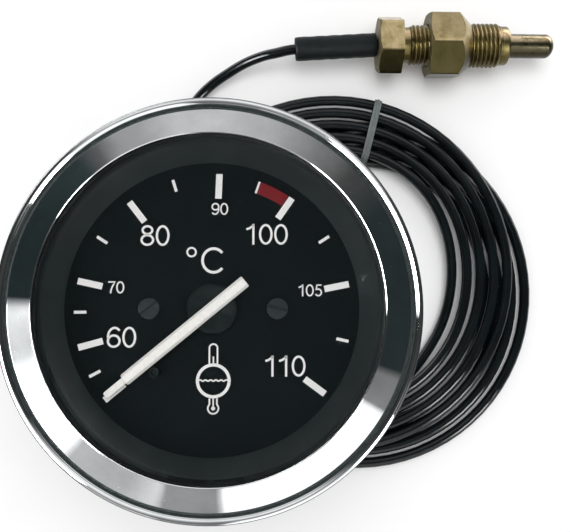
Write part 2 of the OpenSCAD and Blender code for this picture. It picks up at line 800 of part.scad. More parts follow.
// Push-in holder of the dial lamp
module lamp_holder() {
  color("#23262a") difference() {
    union() {
      post(lamp_at, z_back - 1, z_in + 3, lamp_hole_r - 0.15);
      post(lamp_at, z_back - 2.2, z_back - fit, 6);
      post(lamp_at, z_back - 5.5, z_back - 2, 4);
    }
    post(lamp_at, z_in + 0.5, z_in + 4, 3.2);
  }
}

module lamp_bulb() {
  color("#e9e4cf", 0.5) {
    post(lamp_at, z_in + 0.5, z_in + 6, 2.5);
    post(lamp_at, z_in + 5.5, z_in + 11, 2.4);
    translate([lamp_at[0], lamp_at[1], z_in + 11]) sphere(r = 2.4);
  }
}

module lamp_terminal() {
  color("#c0b090") translate([lamp_at[0] - 2.4, lamp_at[1] - 0.4, z_back - 8.5]) cube([4.8, 0.8, 3]);
}

// Threaded gland that seals the capillary into the socket
module capillary_gland() {
  color("#a8966e") difference() {
    union() {
      translate([gland_at[0], gland_at[1], gland_bottom]) rotate([0, 0, gland_angle]) hex_body(gland_af, gland_h);
      post(gland_at, z_back - eps, z_in + 3, neck_r);
    }
    post(gland_at, gland_bottom + 1, z_in + 4, core_r + fit);
  }
}

module capillary_core() {
  color("#b87348") post(gland_at, gland_bottom + 1, z_bourdon + 2.8, core_r);
}

module capillary_tail() {
  color("#14181a") tube(tail_points, cord_d / 2, 8, [heading[1], -heading[0], 0]);
}

module capillary_coil() {
  color("#14181a") tube(coil_path, cord_d / 2, 6);
}

// Strap wrapped once round both layers, with its lock on the inner side
module coil_tie() {
  up = tie_spots(z_upper);
  low = tie_spots(z_lower);
  inside = cord_d / 2 + 0.5 + tie_t / 2;
  outside = cord_d / 2 + 0.6 + tie_t / 2;
  top = z_upper + cord_d / 2 + 0.1 + tie_t / 2;
  bend = z_upper - 0.55;
  corners = [
    [min(up) - inside + 0.7, top], [max(up) + outside, top], [max(up) + outside, bend],
    [max(low) + outside + 0.75, tie_t / 2], [min(low) - inside - 0.7, tie_t / 2]
  ];
  lock = (corners[0] + corners[4]) / 2;
  color("#7d8482") translate([coil_a[0], coil_a[1], 0]) rotate([0, 0, tie_angle]) {
    translate([0, tie_w / 2, 0]) rotate([90, 0, 0])
      for (i = [0:4]) bar(corners[i], corners[(i + 1) % 5], tie_t / 2, tie_w);
    translate([lock[0] - 2.8, -tie_w, lock[1] - 1.2]) cube([2.2, 2 * tie_w, 2.4]);
  }
}

module capillary_lead() {
  color("#14181a") tube(lead_points, cord_d / 2, 8);
}

// Lays a piece that is drawn along +Z onto the bulb's axis, starting at x
module on_bulb_axis(x, turn = 0) {
  translate([x, sensor_y, sensor_z]) rotate([turn, 0, 0]) rotate([0, 90, 0]) children();
}

// Soft sleeve that keeps the capillary from kinking behind the nut
module boot_sleeve() {
  way = boot_right - boot_left;
  long = norm(way);
  color("#101213") translate(boot_left) rotate([0, 0, atan2(way[1], way[0])]) rotate([0, 90, 0]) difference() {
    cylinder(h = long, r = boot_d / 2);
    translate([0, 0, -1]) cylinder(h = long + 2, r = cord_d / 2 + slip);
  }
}

module gland_nut() {
  color("#a8966e") difference() {
    union() {
      on_bulb_axis(nut_x0, nut_roll) hex_body(nut_af, nut_len);
      on_bulb_axis(nut_x1 - eps) cylinder(h = nut_neck + 2 * eps, r = nut_thread_r - 0.5);
      on_bulb_axis(nut_x1 + nut_neck) thread(nut_thread_r, nut_thread_end - nut_x1 - nut_neck, 1);
    }
    on_bulb_axis(nut_x0 - 1) cylinder(h = nut_thread_end - nut_x0 + 2, r = nut_bore_r);
  }
}

module thrust_washer() {
  color("#c2a878") on_bulb_axis(washer_x) difference() {
    cylinder(h = bulb_x - washer_x, r = nut_thread_r - 0.2);
    translate([0, 0, -1]) cylinder(h = 3, r = nut_bore_r);
  }
}

// Liquid-filled bulb with a shoulder that seals inside the adaptor
module thermometer_bulb() {
  reach = pilot_end + bulb_out - shoulder_x;
  nose = bulb_d / 2;
  color("#7a6a3e") {
    on_bulb_axis(bulb_x) cylinder(h = shoulder_x - bulb_x, r = nut_thread_r - 0.2);
    on_bulb_axis(shoulder_x - eps) rotate_extrude() polygon(concat(
      [[0, 0], [nose, 0]],
      [for (a = [0:10:80]) [nose * cos(a), reach - nose_len * (1 - sin(a))]],
      [[0, reach]]
    ));
  }
}

// Screw-in adaptor: hexagon, male thread and a plain pilot end
module bulb_adaptor() {
  color("#a8966e") difference() {
    union() {
      on_bulb_axis(adaptor_x, adaptor_roll) hex_body(adaptor_af, adaptor_len, adaptor_end_r, 45);
      on_bulb_axis(adaptor_end - eps) thread(thread_d / 2, thread_len + 2 * eps, 1);
      on_bulb_axis(thread_end - eps) cylinder(h = pilot_len + eps, r = pilot_r);
    }
    on_bulb_axis(adaptor_x - 1) cylinder(h = shoulder_x - adaptor_x + 1, r = nut_thread_r + fit);
    on_bulb_axis(adaptor_x) cylinder(h = pilot_end - adaptor_x + 1, r = bulb_d / 2 + fit);
  }
}

case_shell();
bezel();
bezel_gasket();
front_glass();
spacer_ring();
case_seal();
dial_plate();
dial_scale();
red_zone();
dial_screws();
stop_pin();
pointer_blade();
pointer_boss();
pinion_arbor();
hairspring();
hairspring_stud();
sector_gear();
sector_arbor();
tip_link();
bourdon_tube();
bourdon_end();
socket_block();
socket_screws();
back_plate();
front_plate();
plate_pillars();
pillar_screws();
standoffs();
case_screws();
dial_posts();
mounting_studs();
stud_nuts();
clamp_bracket();
clamp_washers();
thumb_nut_left();
thumb_nut_right();
lamp_holder();
lamp_bulb();
lamp_terminal();
capillary_gland();
capillary_core();
capillary_tail();
capillary_coil();
coil_tie();
capillary_lead();
boot_sleeve();
gland_nut();
thrust_washer();
thermometer_bulb();
bulb_adaptor();
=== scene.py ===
"""Looks of a capillary temperature gauge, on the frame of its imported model."""
import functools
import math
from collections import namedtuple

import bmesh
import bpy
from bpy.props import FloatProperty, FloatVectorProperty, IntProperty, PointerProperty
from mathutils import Matrix, Vector


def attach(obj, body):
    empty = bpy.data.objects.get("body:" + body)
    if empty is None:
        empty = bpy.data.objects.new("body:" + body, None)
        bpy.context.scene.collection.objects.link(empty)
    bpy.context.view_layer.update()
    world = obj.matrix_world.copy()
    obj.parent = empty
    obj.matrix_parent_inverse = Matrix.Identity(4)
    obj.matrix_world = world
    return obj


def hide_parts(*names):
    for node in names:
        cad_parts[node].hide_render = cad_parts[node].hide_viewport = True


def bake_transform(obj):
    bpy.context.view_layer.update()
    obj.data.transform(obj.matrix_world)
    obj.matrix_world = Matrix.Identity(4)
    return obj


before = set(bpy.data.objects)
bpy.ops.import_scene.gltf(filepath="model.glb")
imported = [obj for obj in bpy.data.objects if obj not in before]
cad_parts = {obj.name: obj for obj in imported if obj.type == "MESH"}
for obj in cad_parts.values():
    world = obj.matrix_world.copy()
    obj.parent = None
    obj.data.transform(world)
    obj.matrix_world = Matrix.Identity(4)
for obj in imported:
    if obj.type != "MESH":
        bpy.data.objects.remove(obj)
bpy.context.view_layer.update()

bl_info = {
    "name": "Capillary Temperature Gauge",
    "version": (1, 0, 0),
    "blender": (4, 5, 0),
    "location": "View3D > Sidebar > Gauge",
    "description": "Builds a panel gauge with a coiled capillary and a screw-in thermometer bulb",
    "category": "Add Mesh",
}

MM = 0.001


def polar(radius, degrees, centre=(0.0, 0.0)):
    """The point at a distance and a direction from a centre."""
    angle = math.radians(degrees)
    return centre[0] + radius * math.cos(angle), centre[1] + radius * math.sin(angle)


# Heights and centres that part.scad gives, in millimetres
Z_BACK, Z_SEAT = 20.0, 60.0
Z_DIAL, Z_GLASS = 62.0, 65.6
Z_BLADE = 63.5
CASE_RADIUS, CASE_WALL = 30.0, 0.8
BULB_AXIS = (62.3, 7 / math.cos(math.radians(30)) * math.cos(math.radians(10.5)))
STUD_X = 19.0
LAMP, LAMP_HOLE = (-17.5, -13.5), 5.1
COIL_START = 155.0
TIE_ANGLE = 76.0
GLAND_TURN = 143.8
GLAND = polar(22.8, GLAND_TURN)
TUBE_BEND = 23.5
TAIL_RUN = 12.2

# The print lies a little below the pointer's axis, and stands just proud of the dial
PRINT_CENTRE = (0.15, -0.38)
PRINT_LOW, PRINT_HIGH = Z_DIAL - 0.02, Z_DIAL + 0.06


# ---- colours and nodes


def linear(colour):
    """Linear RGBA of an sRGB hex colour such as "#14181a", or of the colour setting of that name."""
    if not colour.startswith("#"):
        return tuple(getattr(bpy.context.scene.gauge_colours, colour))
    parts = [int(colour[i : i + 2], 16) / 255 for i in (1, 3, 5)]
    return tuple(c / 12.92 if c <= 0.04045 else ((c + 0.055) / 1.055) ** 2.4 for c in parts) + (1.0,)


def add(tree, kind, links=None, stops=(), **settings):
    """Adds a node. Settings name its own values, links give each named input a socket or a plain value,
    and stops are a ramp's positions with their colours, each for linear() or a grey number."""
    node = tree.nodes.new(kind)
    for key, value in settings.items():
        setattr(node, key, value)
    for key, value in (links or {}).items():
        if isinstance(value, bpy.types.NodeSocket):
            tree.links.new(value, node.inputs[key])
        else:
            node.inputs[key].default_value = value
    if stops:
        elements = node.color_ramp.elements
        while len(elements) < len(stops):
            elements.new(0.5)
        for element, (place, colour) in zip(elements, stops):
            element.position = place
            element.color = linear(colour) if isinstance(colour, str) else (colour, colour, colour, 1)
    return node


# ---- finishes


# A noise: the size of its clouds in millimetres, its detail, how rough that is, and a stretch
Grain = namedtuple("Grain", "size detail crumble stretch", defaults=(3.0, 0.55, (1.0, 1.0, 1.0)))


def surface(name, tones=None, gloss=None, relief=(), shaded=None, **values):
    """New material. tones is a grain with the colour stops that follow it, gloss a grain with the two
    roughnesses it runs between, relief a list of grains with their depth in millimetres and strength,
    and the argument after relief, if given, the last values of the function that paints shade on one side. All other
    values are set on the shader."""
    material = bpy.data.materials.new(name)
    material.use_nodes = True
    tree = material.node_tree
    shader = tree.nodes["Principled BSDF"]
    for key, value in values.items():
        shader.inputs[key.replace("_", " ")].default_value = value
    where = add(tree, "ShaderNodeTexCoord").outputs["Object"]
    patterns = {}

    def pattern(grain):
        if grain not in patterns:
            scale = [factor / MM for factor in grain.stretch]
            place = add(tree, "ShaderNodeMapping", {"Vector": where, "Scale": scale}).outputs["Vector"]
            links = {"Vector": place, "Scale": 1 / grain.size, "Detail": grain.detail, "Roughness": grain.crumble}
            patterns[grain] = add(tree, "ShaderNodeTexNoise", links).outputs["Fac"]
        return patterns[grain]

    if tones:
        tone = add(tree, "ShaderNodeValToRGB", {"Fac": pattern(tones[0])}, tones[1:]).outputs["Color"]
        # Painted shade is mixed into the base colour when its values are given
        tree.links.new(painted_shade_side(tree, tone, *shaded) if shaded else tone, shader.inputs["Base Color"])
    if gloss:
        grain, low, high = gloss
        # A noise lies mostly between these two values
        links = {"Value": pattern(grain), "From Min": 0.3, "From Max": 0.7, "To Min": low, "To Max": high}
        tree.links.new(add(tree, "ShaderNodeMapRange", links).outputs["Result"], shader.inputs["Roughness"])
    bump = {}
    for grain, depth, strength in relief:
        bump |= {"Height": pattern(grain), "Distance": depth * MM, "Strength": strength}
        bump["Normal"] = add(tree, "ShaderNodeBump", bump).outputs["Normal"]
    if bump:
        tree.links.new(bump["Normal"], shader.inputs["Normal"])
    return material


def painted_shade_side(tree, colour, shade_colour, middle, half):
    """Painted shade on brass: mixes a dark colour into it on the faces that look back along the tube,
    and away from a band given by how far its middle faces +Y and by half its width."""
    split = add(tree, "ShaderNodeSeparateXYZ", {"Vector": add(tree, "ShaderNodeTexCoord").outputs["Normal"]})
    off = add(tree, "ShaderNodeMath", {0: split.outputs["Y"], 1: middle}, operation="SUBTRACT").outputs[0]
    away = add(tree, "ShaderNodeMath", {0: off}, operation="ABSOLUTE").outputs[0]
    back = add(tree, "ShaderNodeMath", {0: split.outputs["X"], 1: -1.0}, operation="MULTIPLY").outputs[0]
    either = add(tree, "ShaderNodeMath", {0: away, 1: back}, operation="MAXIMUM").outputs[0]
    links = {"Value": either, "From Min": half, "From Max": half + 0.3, "To Min": 0.0, "To Max": 0.94}
    shade_amount = add(tree, "ShaderNodeMapRange", links).outputs["Result"]
    return add(tree, "ShaderNodeMix", {"Factor": shade_amount, "A": colour, "B": linear(shade_colour)}, data_type="RGBA").outputs[2]


def chrome_plate():
    """Polished chrome plate: a mirror with a faint polishing haze and slow waves."""
    return surface(
        "polished chrome plate", (Grain(6.0, 4.0), (0.3, "#c9cccd"), (0.7, "#dfe1e2")),
        (Grain(2.5), 0.02, 0.05), [(Grain(9.0, 2.0), 0.02, 0.25)], Metallic=1.0,
    )


def turned_brass(name, light, dark, roughness, shade_colour=None, mark=0.12, axis=0):
    """Turned or drawn brass, dulled by handling: tool marks round the axis and darker tarnish in patches,
    and, with a shade colour, painted shade away from a band facing a little towards +Y and on faces looking back
    along the tube.
    """
    patches = Grain(3.2, 5.0, 0.6)
    marks = Grain(mark, 2.0, stretch=tuple(1.0 if i == axis else 0.12 for i in range(3)))
    return surface(
        name, (patches, (0.35, light), (0.68, dark)), (Grain(1.4, 4.0), roughness - 0.08, roughness + 0.12),
        [(marks, 0.008, 0.35), (patches, 0.04, 0.2)], (shade_colour, 0.38, 0.12) if shade_colour else None, Metallic=1.0,
    )


def milled_brass():
    """Milled brass hexagon: brushed flats, small dents and darker tarnish in patches, with painted shade
    on the flats that face -Y and on the faces that look back along the tube.
    """
    patches, brushed = Grain(2.6, 6.0, 0.65), Grain(0.16, 2.0, stretch=(0.1, 1.0, 1.0))
    return surface(
        "milled brass hexagon", (patches, (0.3, "#c3b18c"), (0.55, "#ac9b72"), (0.75, "#84754a")),
        # The dark olive colour is painted shade on flats facing -Y and on faces looking back along the tube
        (patches, 0.17, 0.27), [(brushed, 0.01, 0.25), (patches, 0.09, 0.5)], ("#2f2c14", 0.42, 0.58), Metallic=1.0,
    )


def zinc_plate(name, tint, roughness):
    """Zinc-plated steel: pale bluish grey, slightly cloudy, with a fine rolled grain."""
    return surface(
        name, (Grain(4.0, 5.0), (0.3, tint), (0.7, "#8f9598")), (Grain(1.2), roughness - 0.06, roughness + 0.1),
        [(Grain(0.4, 2.0), 0.01, 0.4)], Metallic=1.0,
    )


def black_enamel():
    """Stove-enamelled steel: deep black with a faint orange-peel surface."""
    return surface(
        "black stove enamel", (Grain(5.0), (0.3, "#191b1c"), (0.7, "#202324")), (Grain(2.0), 0.27, 0.4),
        [(Grain(0.9, 2.0), 0.02, 0.35)], Coat_Weight=0.3, Coat_Roughness=0.15,
    )


def matt_print(name, colour, speck, roughness, grain=0.3, shine=0.25):
    """Screen-printed ink or matt paint: an even colour with a fine grain of specks."""
    return surface(
        name, (Grain(grain, 4.0), (0.35, colour), (0.72, speck)), (Grain(3.0), roughness - 0.06, roughness + 0.1),
        [(Grain(grain * 0.7, 2.0), 0.01, 0.3)], Specular_IOR_Level=shine,
    )


def moulded_plastic(name, colour, other, roughness):
    """Moulded plastic: fine spark-eroded texture and slight shade changes."""
    return surface(
        name, (Grain(4.5), (0.3, colour), (0.7, other)), (Grain(1.5), roughness - 0.06, roughness + 0.08),
        [(Grain(0.5, 2.0), 0.02, 0.4)],
    )


def pvc_sheath():
    """Extruded PVC sheath: glossy black, with the slow waves that break its highlights into streaks."""
    return surface(
        "glossy black PVC sheath", (Grain(7.0), (0.3, "sheath"), (0.7, "#12181a")), (Grain(5.0, 2.0), 0.1, 0.2),
        [(Grain(9.0, 2.0), 0.5, 0.7), (Grain(0.5, 2.0), 0.01, 0.4)],
        Coat_Weight=0.35, Coat_Roughness=0.05, Specular_IOR_Level=0.15,
    )


def soft_rubber(name, colour):
    """Moulded rubber or shrink sleeve: nearly black, with a dull sheen and fine pores."""
    return surface(
        name, (Grain(2.2, 4.0), (0.3, colour), (0.7, "#151a1b")), (Grain(1.4), 0.42, 0.58),
        [(Grain(0.35, 3.0), 0.025, 0.5)], Specular_IOR_Level=0.15,
    )


def thin_glass(name, tint, strength):
    """Thin clear glass: shows what is behind it, and mirrors more towards its edges."""
    material = surface(name, gloss=(Grain(8.0), 0.01, 0.03), Base_Color=linear(tint), Metallic=1.0)
    tree = material.node_tree
    mirror = add(tree, "ShaderNodeFresnel", {"IOR": 1.45}).outputs["Fac"]
    alpha = add(tree, "ShaderNodeMath", {0: mirror, 1: strength}, operation="MULTIPLY").outputs[0]
    tree.links.new(alpha, tree.nodes["Principled BSDF"].inputs["Alpha"])
    return material


# How each finish is made: by which function, from which values. A colour is hex, or names a setting.
LOOKS = {
    "chrome": (chrome_plate,),
    # Painted shade: flat dark grey on the chrome in the groove and along the outer edge of the rim's top, so that
    # they read as dark lines round the rim
    "painted shade chrome": (matt_print, "dull chrome in the groove", "#2a3030", "#3b4242", 0.45, 0.8),
    "hex brass": (milled_brass,),
    # The last colour given to the thread and bulb brass is painted shade, away from their lit band
    "thread brass": (turned_brass, "turned brass thread", "#cdb692", "#a8956a", 0.34, "#4f4828"),
    "bulb brass": (turned_brass, "drawn brass tube", "#c6b294", "#8f8262", 0.3, "#2b2b1e"),
    # Painted shade for the hexagons' faces that look back along the tube: flat dark olive, with none of the flats'
    # shine
    "aged brass": (matt_print, "aged brass face", "#5c5436", "#494229", 0.5, 1.2, 0.3),
    "clock brass": (turned_brass, "lacquered clock brass", "#c2a96c", "#9c8550", 0.28, None, 0.2, 2),
    "bronze": (turned_brass, "drawn bronze tube", "#a88a4e", "#7d6233", 0.34, None, 0.3, 2),
    "copper": (turned_brass, "drawn copper capillary", "#b4744c", "#84502f", 0.3),
    "zinc": (zinc_plate, "bright zinc plate", "#b9bdbf", 0.28),
    "blued steel": (zinc_plate, "blued spring steel", "#5c6a78", 0.24),
    "enamel": (black_enamel,),
    "dial black": (matt_print, "matt black dial paint", "dial", "#11181a", 0.6, 0.35, 0.05),
    "white ink": (matt_print, "white screen ink", "figures", "#e4e3e1", 0.6),
    "red ink": (matt_print, "dark red screen ink", "red_line", "#641519", 0.6),
    "cream enamel": (matt_print, "cream pointer enamel", "pointer", "#ebe9e4", 0.42, 0.6),
    "cone plastic": (moulded_plastic, "charcoal moulded cone", "#1c2323", "#242c2c", 0.36),
    # Almost as dark as the dial, so that the boss shows only as a faint disc
    "boss plastic": (matt_print, "sandblasted black boss", "#0c1213", "#192122", 0.55, 0.9, 0.12),
    "screw black": (matt_print, "chemically blackened steel", "#232b2c", "#2d3535", 0.36, 0.5),
    "lamp plastic": (moulded_plastic, "black moulded lamp holder", "#17191b", "#222628", 0.42),
    "pvc": (pvc_sheath,),
    "rubber": (soft_rubber, "soft black rubber", "#121516"),
    "sleeve": (soft_rubber, "black shrink sleeve", "#0d1112"),
    "tie": (moulded_plastic, "grey plastic tie", "#565d5b", "#6d7472", 0.5),
    "glass": (thin_glass, "thin clear glass", "#ffffff", 0.55),
    "lamp glass": (thin_glass, "clear lamp glass", "#fff4dc", 3.0),
}


@functools.lru_cache(maxsize=None)
def use(name):
    """The finish of that name, made once."""
    maker, *values = LOOKS[name]
    return maker(*values)


# ---- shapes


def put(name, data):
    """New object with that data, linked to the scene."""
    thing = bpy.data.objects.new(name, data)
    bpy.context.scene.collection.objects.link(thing)
    return thing


def piece(name, shape, look, body, node, crease=35.0):
    """New mesh piece from points in millimetres and faces, smooth except at edges sharper than crease
    degrees, which stands for a node if one is given. One that bends between two bodies is given none here."""
    points, faces = shape
    mesh = bpy.data.meshes.new(name)
    mesh.from_pydata([[v * MM for v in p] for p in points], [], faces)
    work = bmesh.new()
    work.from_mesh(mesh)
    bmesh.ops.remove_doubles(work, verts=work.verts, dist=1e-7)
    bmesh.ops.recalc_face_normals(work, faces=work.faces)
    work.to_mesh(mesh)
    work.free()
    mesh.shade_smooth()
    mesh.set_sharp_from_angle(angle=math.radians(crease))
    mesh.materials.append(use(look))
    thing = put(name, mesh)
    if body:
        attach(thing, body)
    if node:
        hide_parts(node)
    return thing


def soften(thing, width):
    """Rounds the piece's sharp edges a little, as real edges are."""
    edge = thing.modifiers.new("soft edges", "BEVEL")
    edge.width = width * MM
    edge.segments = 2
    edge.limit_method = "ANGLE"
    edge.angle_limit = math.radians(32)
    edge.harden_normals = True


def bands(rows, columns, ring):
    """Faces between neighbouring rows of points. With ring, the last row joins the first."""
    faces = []
    for j in range(rows if ring else rows - 1):
        k = (j + 1) % rows
        for i in range(columns):
            n = (i + 1) % columns
            faces.append((j * columns + i, j * columns + n, k * columns + n, k * columns + i))
    return faces


def skin(rows, columns, ring=True, spot=(0, 0), along="z", start=0.0):
    """Points and faces of a turned shape. Each row is (radius, height), or a function of the angle in
    degrees that gives them. With ring, the last row joins the first."""
    points = []
    for row in rows:
        for i in range(columns):
            angle = start + 360 * i / columns
            radius, height = row(angle) if callable(row) else row
            u, v = polar(radius, angle)
            points.append((spot[0] + u, spot[1] + v, height) if along == "z" else (height, spot[0] + v, spot[1] - u))
    return points, bands(len(rows), columns, ring)


def loft(sections, ring=False):
    """Points and faces through sections, with flat ends or, with ring, back to the first section."""
    points = [point for section in sections for point in section]
    n, total = len(sections[0]), len(points)
    ends = [] if ring else [tuple(range(n)), tuple(range(total - n, total))]
    return points, ends + bands(len(sections), n, ring)


def flat_shape(outline, low, high):
    """A flat outline raised from low to high."""
    return loft([[(x, y, z) for x, y in outline] for z in (low, high)])


def placed(shape, spot, turn):
    """A shape turned about the z axis and moved to a spot."""
    c, s = polar(1.0, turn)
    return [(spot[0] + c * x - s * y, spot[1] + s * x + c * y, z) for x, y, z in shape[0]], shape[1]


def joined(shapes):
    """Several shapes as one."""
    points, faces = [], []
    for more_points, more_faces in shapes:
        faces += [tuple(len(points) + i for i in face) for face in more_faces]
        points += more_points
    return points, faces


def oval(cx, cy, rx, ry, start=0.0, end=360.0, steps=40):
    """Points of an oval from one angle to another."""
    angles = [math.radians(start + (end - start) * i / steps) for i in range(steps + 1)]
    return [(cx + rx * math.cos(angle), cy + ry * math.sin(angle)) for angle in angles]


def arc(centre, radius, start, end, steps):
    return oval(*centre, radius, radius, start, end, steps)


def hex_rows(flats, low, high, turn=0.0, cuts=(0.12, 0.12), slopes=(30, 30)):
    """Rows of a hexagon between two heights. Each cut is how much of the corner's radius the chamfer
    at that end takes off, at its slope in degrees, and the edges between the flats are rounded a little."""
    corner = flats / 2 / math.cos(math.radians(30))
    edges = [corner * (1 - cut) for cut in cuts]

    def side(angle):
        local = (angle - turn) % 60 - 30
        return min(flats / 2 / math.cos(math.radians(local)), corner * 0.988)

    def chamfer(edge, end, rise, part):
        def at(angle):
            over = max(0.0, side(angle) - edge) * part
            return min(side(angle), edge) + over, end + over * rise
        return at

    rise, fall = (math.tan(math.radians(slope)) for slope in slopes)
    parts = (0.0, 0.5, 0.94, 1.0)
    return ([chamfer(edges[0], low, rise, part) for part in parts]
            + [chamfer(edges[1], high, -fall, part) for part in reversed(parts)])


def thread_rows(radius, low, high, pitch, steps=12):
    """Rows of a right-handed helical thread with flat crests, fading in at both ends."""
    depth, crest_flat, flank = 0.48 * pitch, 0.08, 0.74
    fade_low, fade_high = 0.4, 0.8
    count = max(2, round((high - low) / pitch * steps))

    def row(height):
        def at(angle):
            away = abs((height / pitch - angle / 360) % 1.0 - 0.5) * 2
            crest = min(1.0, max(0.0, (1.0 - away - crest_flat) / flank)) ** 0.8
            fade = min(1.0, (high - height) / fade_high, (height - low) / fade_low)
            return radius - depth + depth * crest * max(0.0, fade), height
        return at

    return [row(low + (high - low) * i / count) for i in range(count + 1)]


def fluted(reach, height, count, cut):
    """Row of a grip with so many ribs. cut gives the depth between them, from 0 on a rib to 1 midway."""
    def at(angle):
        return reach - cut(abs((angle * count / 360) % 1.0 - 0.5) * 2), height
    return at


def smooth_path(points, steps):
    """A smooth curve through the points, with so many steps between neighbours."""
    path = []
    count = len(points)
    for i in range(count - 1):
        p0, p1, p2, p3 = (Vector(points[max(0, min(count - 1, i + k))]) for k in (-1, 0, 1, 2))
        for t in (j / steps for j in range(steps)):
            path.append(0.5 * ((2 * p1) + (p2 - p0) * t + (2 * p0 - 5 * p1 + 4 * p2 - p3) * t * t
                               + (3 * p1 - p0 - 3 * p2 + p3) * t ** 3))
    return path + [Vector(points[-1])]


# ---- settings


class GaugeHeadSettings(bpy.types.PropertyGroup):
    bezel_width: FloatProperty(
        name="Bezel width", description="Outside diameter of the chrome bezel",
        default=0.0665, unit="LENGTH", precision=4)
    face_slope: FloatProperty(
        name="Face slope", description="Rise of the bezel's face for each millimetre inwards", default=0.55)
    groove_depth: FloatProperty(
        name="Groove depth", description="Depth of the groove inside the rounded rim",
        default=0.0004, unit="LENGTH", precision=5)
    scale_radius: FloatProperty(
        name="Scale radius", description="Radius of the outer ends of the scale lines",
        default=0.02245, unit="LENGTH", precision=4)
    large_figures: FloatProperty(
        name="Large figures", description="Height of the large scale figures",
        default=0.0034, unit="LENGTH", precision=4)
    small_figures: FloatProperty(
        name="Small figures", description="Height of the small scale figures",
        default=0.00195, unit="LENGTH", precision=4)
    pointer_angle: FloatProperty(
        name="Pointer angle", description="Direction of the resting pointer, from 3 o'clock",
        default=math.radians(219.5), subtype="ANGLE")


class GaugeColours(bpy.types.PropertyGroup):
    dial: FloatVectorProperty(
        name="Dial", description="Main tone of the dial's paint", default=linear("#0b1011"), size=4, subtype="COLOR")
    figures: FloatVectorProperty(
        name="Figures", description="Main tone of the white ink", default=linear("#eeeeec"), size=4, subtype="COLOR")
    red_line: FloatVectorProperty(
        name="Red line", description="Main tone of the red ink", default=linear("#701b20"), size=4, subtype="COLOR")
    pointer: FloatVectorProperty(
        name="Pointer", description="Main tone of its enamel", default=linear("#f4f3f0"), size=4, subtype="COLOR")
    sheath: FloatVectorProperty(
        name="Sheath", description="Main tone of the PVC", default=linear("#0b0f10"), size=4, subtype="COLOR")


class CapillarySettings(bpy.types.PropertyGroup):
    sheath: FloatProperty(
        name="Sheath", description="Outside diameter of the sheathed capillary",
        default=0.0024, unit="LENGTH", precision=4)
    outer_loop: FloatProperty(
        name="Outer loop", description="Radius of the outermost loop of the upper layer",
        default=0.0412, unit="LENGTH", precision=4)
    gap: FloatProperty(
        name="Gap", description="Least gap between neighbouring loops",
        default=0.00045, unit="LENGTH", precision=5)
    points_per_loop: IntProperty(
        name="Points per loop", description="Curve points in each loop of the coil", default=72, min=24)


class StudioSettings(bpy.types.PropertyGroup):
    lens: FloatProperty(name="Lens", description="Focal length on a 36 mm sensor", default=53.62)
    eye: FloatVectorProperty(
        name="Camera place", description="Where the camera stands", default=(0.008, -0.003, 0.2), unit="LENGTH")
    target: FloatVectorProperty(
        name="Target", description="Point that the camera looks at", default=(0.01154, 0.00639, 0.07), unit="LENGTH")
    surroundings: FloatProperty(
        name="Surroundings", description="Strength of the studio's even light", default=0.75)


# ---- bezel and window


class GAUGE_OT_bezel(bpy.types.Operator):
    """Spun chrome bezel with its rounded rim, groove and sloping face"""
    bl_idname = "gauge.bezel"
    bl_label = "Bezel"

    def execute(self, context):
        head = context.scene.gauge_head
        outer = head.bezel_width / 2 / MM
        lean = math.degrees(math.atan(head.face_slope))
        lip, curl = (27.24, 9.84), 0.14
        inner, high = polar(curl, 90 - lean, lip)
        face_edge = outer - 1.9
        low = high - head.face_slope * (face_edge - inner)
        # The rim comes to a fine crest, leaning inwards
        wall, shoulder = low + 0.06, 0.2
        rim_curl, bead_curl = 0.95, 1.05
        rim = polar(shoulder - rim_curl, 52, (outer - shoulder, wall))
        bead = polar(-bead_curl, 106, polar(rim_curl, 87, rim))
        depth, groove_width = head.groove_depth / MM, 0.76
        # A last step just short of the lip keeps the face's reflection flat up to it
        steps = [i / 16 for i in range(16)] + [0.995, 1.0]
        back = outer - 0.7
        profile = (
            [(30.8, 0.0), (outer - 0.45, 0.0)]
            + arc((outer - 0.4, 0.4), 0.4, -90, 0, 5)
            + [(outer, 2.4)]
            + arc((outer - shoulder, wall), shoulder, 0, 52, 5)
            + arc(rim, rim_curl, 52, 87, 7)[1:]
            + arc(bead, bead_curl, 106, 140, 7)[1:]
            + [(face_edge + 0.45, low - depth), (face_edge + 0.1, low - depth)]
            + [(face_edge + (inner - face_edge) * t, low + (high - low) * t) for t in steps]
            + arc(lip, curl, 90 - lean, 92, 6)[1:]
            + arc((lip[0] - 0.04, lip[1] + 0.02), 0.1, 120, 180, 5)
            + [(27.2, 9.2), (27.45, 9.02), (30.8, 7.18), (31.6, 6.75), (back, 6.6), (back, 0.7), (30.8, 0.7)]
        )
        shape = skin([(radius, Z_SEAT + height) for radius, height in profile], 256)
        ring = piece("bezel_ring", shape, "chrome", "head", "bezel", 15)
        ring.data.materials.append(use("painted shade chrome"))
        # The groove's faces, and those along the outer edge of the rim's top, get the painted shade
        for face in ring.data.polygons:
            reach, height = math.hypot(face.center.x, face.center.y) / MM, face.center.z / MM - Z_SEAT
            groove = face_edge < reach < face_edge + groove_width and height > low - depth - 0.05
            if groove or (reach > outer - 0.14 and height > wall):
                face.material_index = 1
        return {"FINISHED"}


class GAUGE_OT_window(bpy.types.Operator):
    """Front glass with its rubber gasket, and the charcoal cone between the glass and the dial"""
    bl_idname = "gauge.window"
    bl_label = "Window"

    def execute(self, context):
        reach, thick = 30.2, 1.6
        pane = [(0.0, 0.0), (29.9, 0.0), (reach, 0.25), (reach, thick - 0.25), (29.9, thick), (0.0, thick)]
        shape = skin([(radius, Z_GLASS + height) for radius, height in pane], 128, ring=False)
        piece("front_glass_pane", shape, "glass", "head", "front_glass")
        inner, width = 23.85, 2.85
        slope = [(inner + width * i / 12, Z_DIAL + (Z_GLASS - Z_DIAL) * i / 12) for i in range(13)]
        cone = skin(slope + [(28.9, Z_GLASS), (28.9, Z_DIAL)], 192)
        piece("dial_cone", cone, "cone plastic", "head", "spacer_ring")
        return {"FINISHED"}


# ---- dial


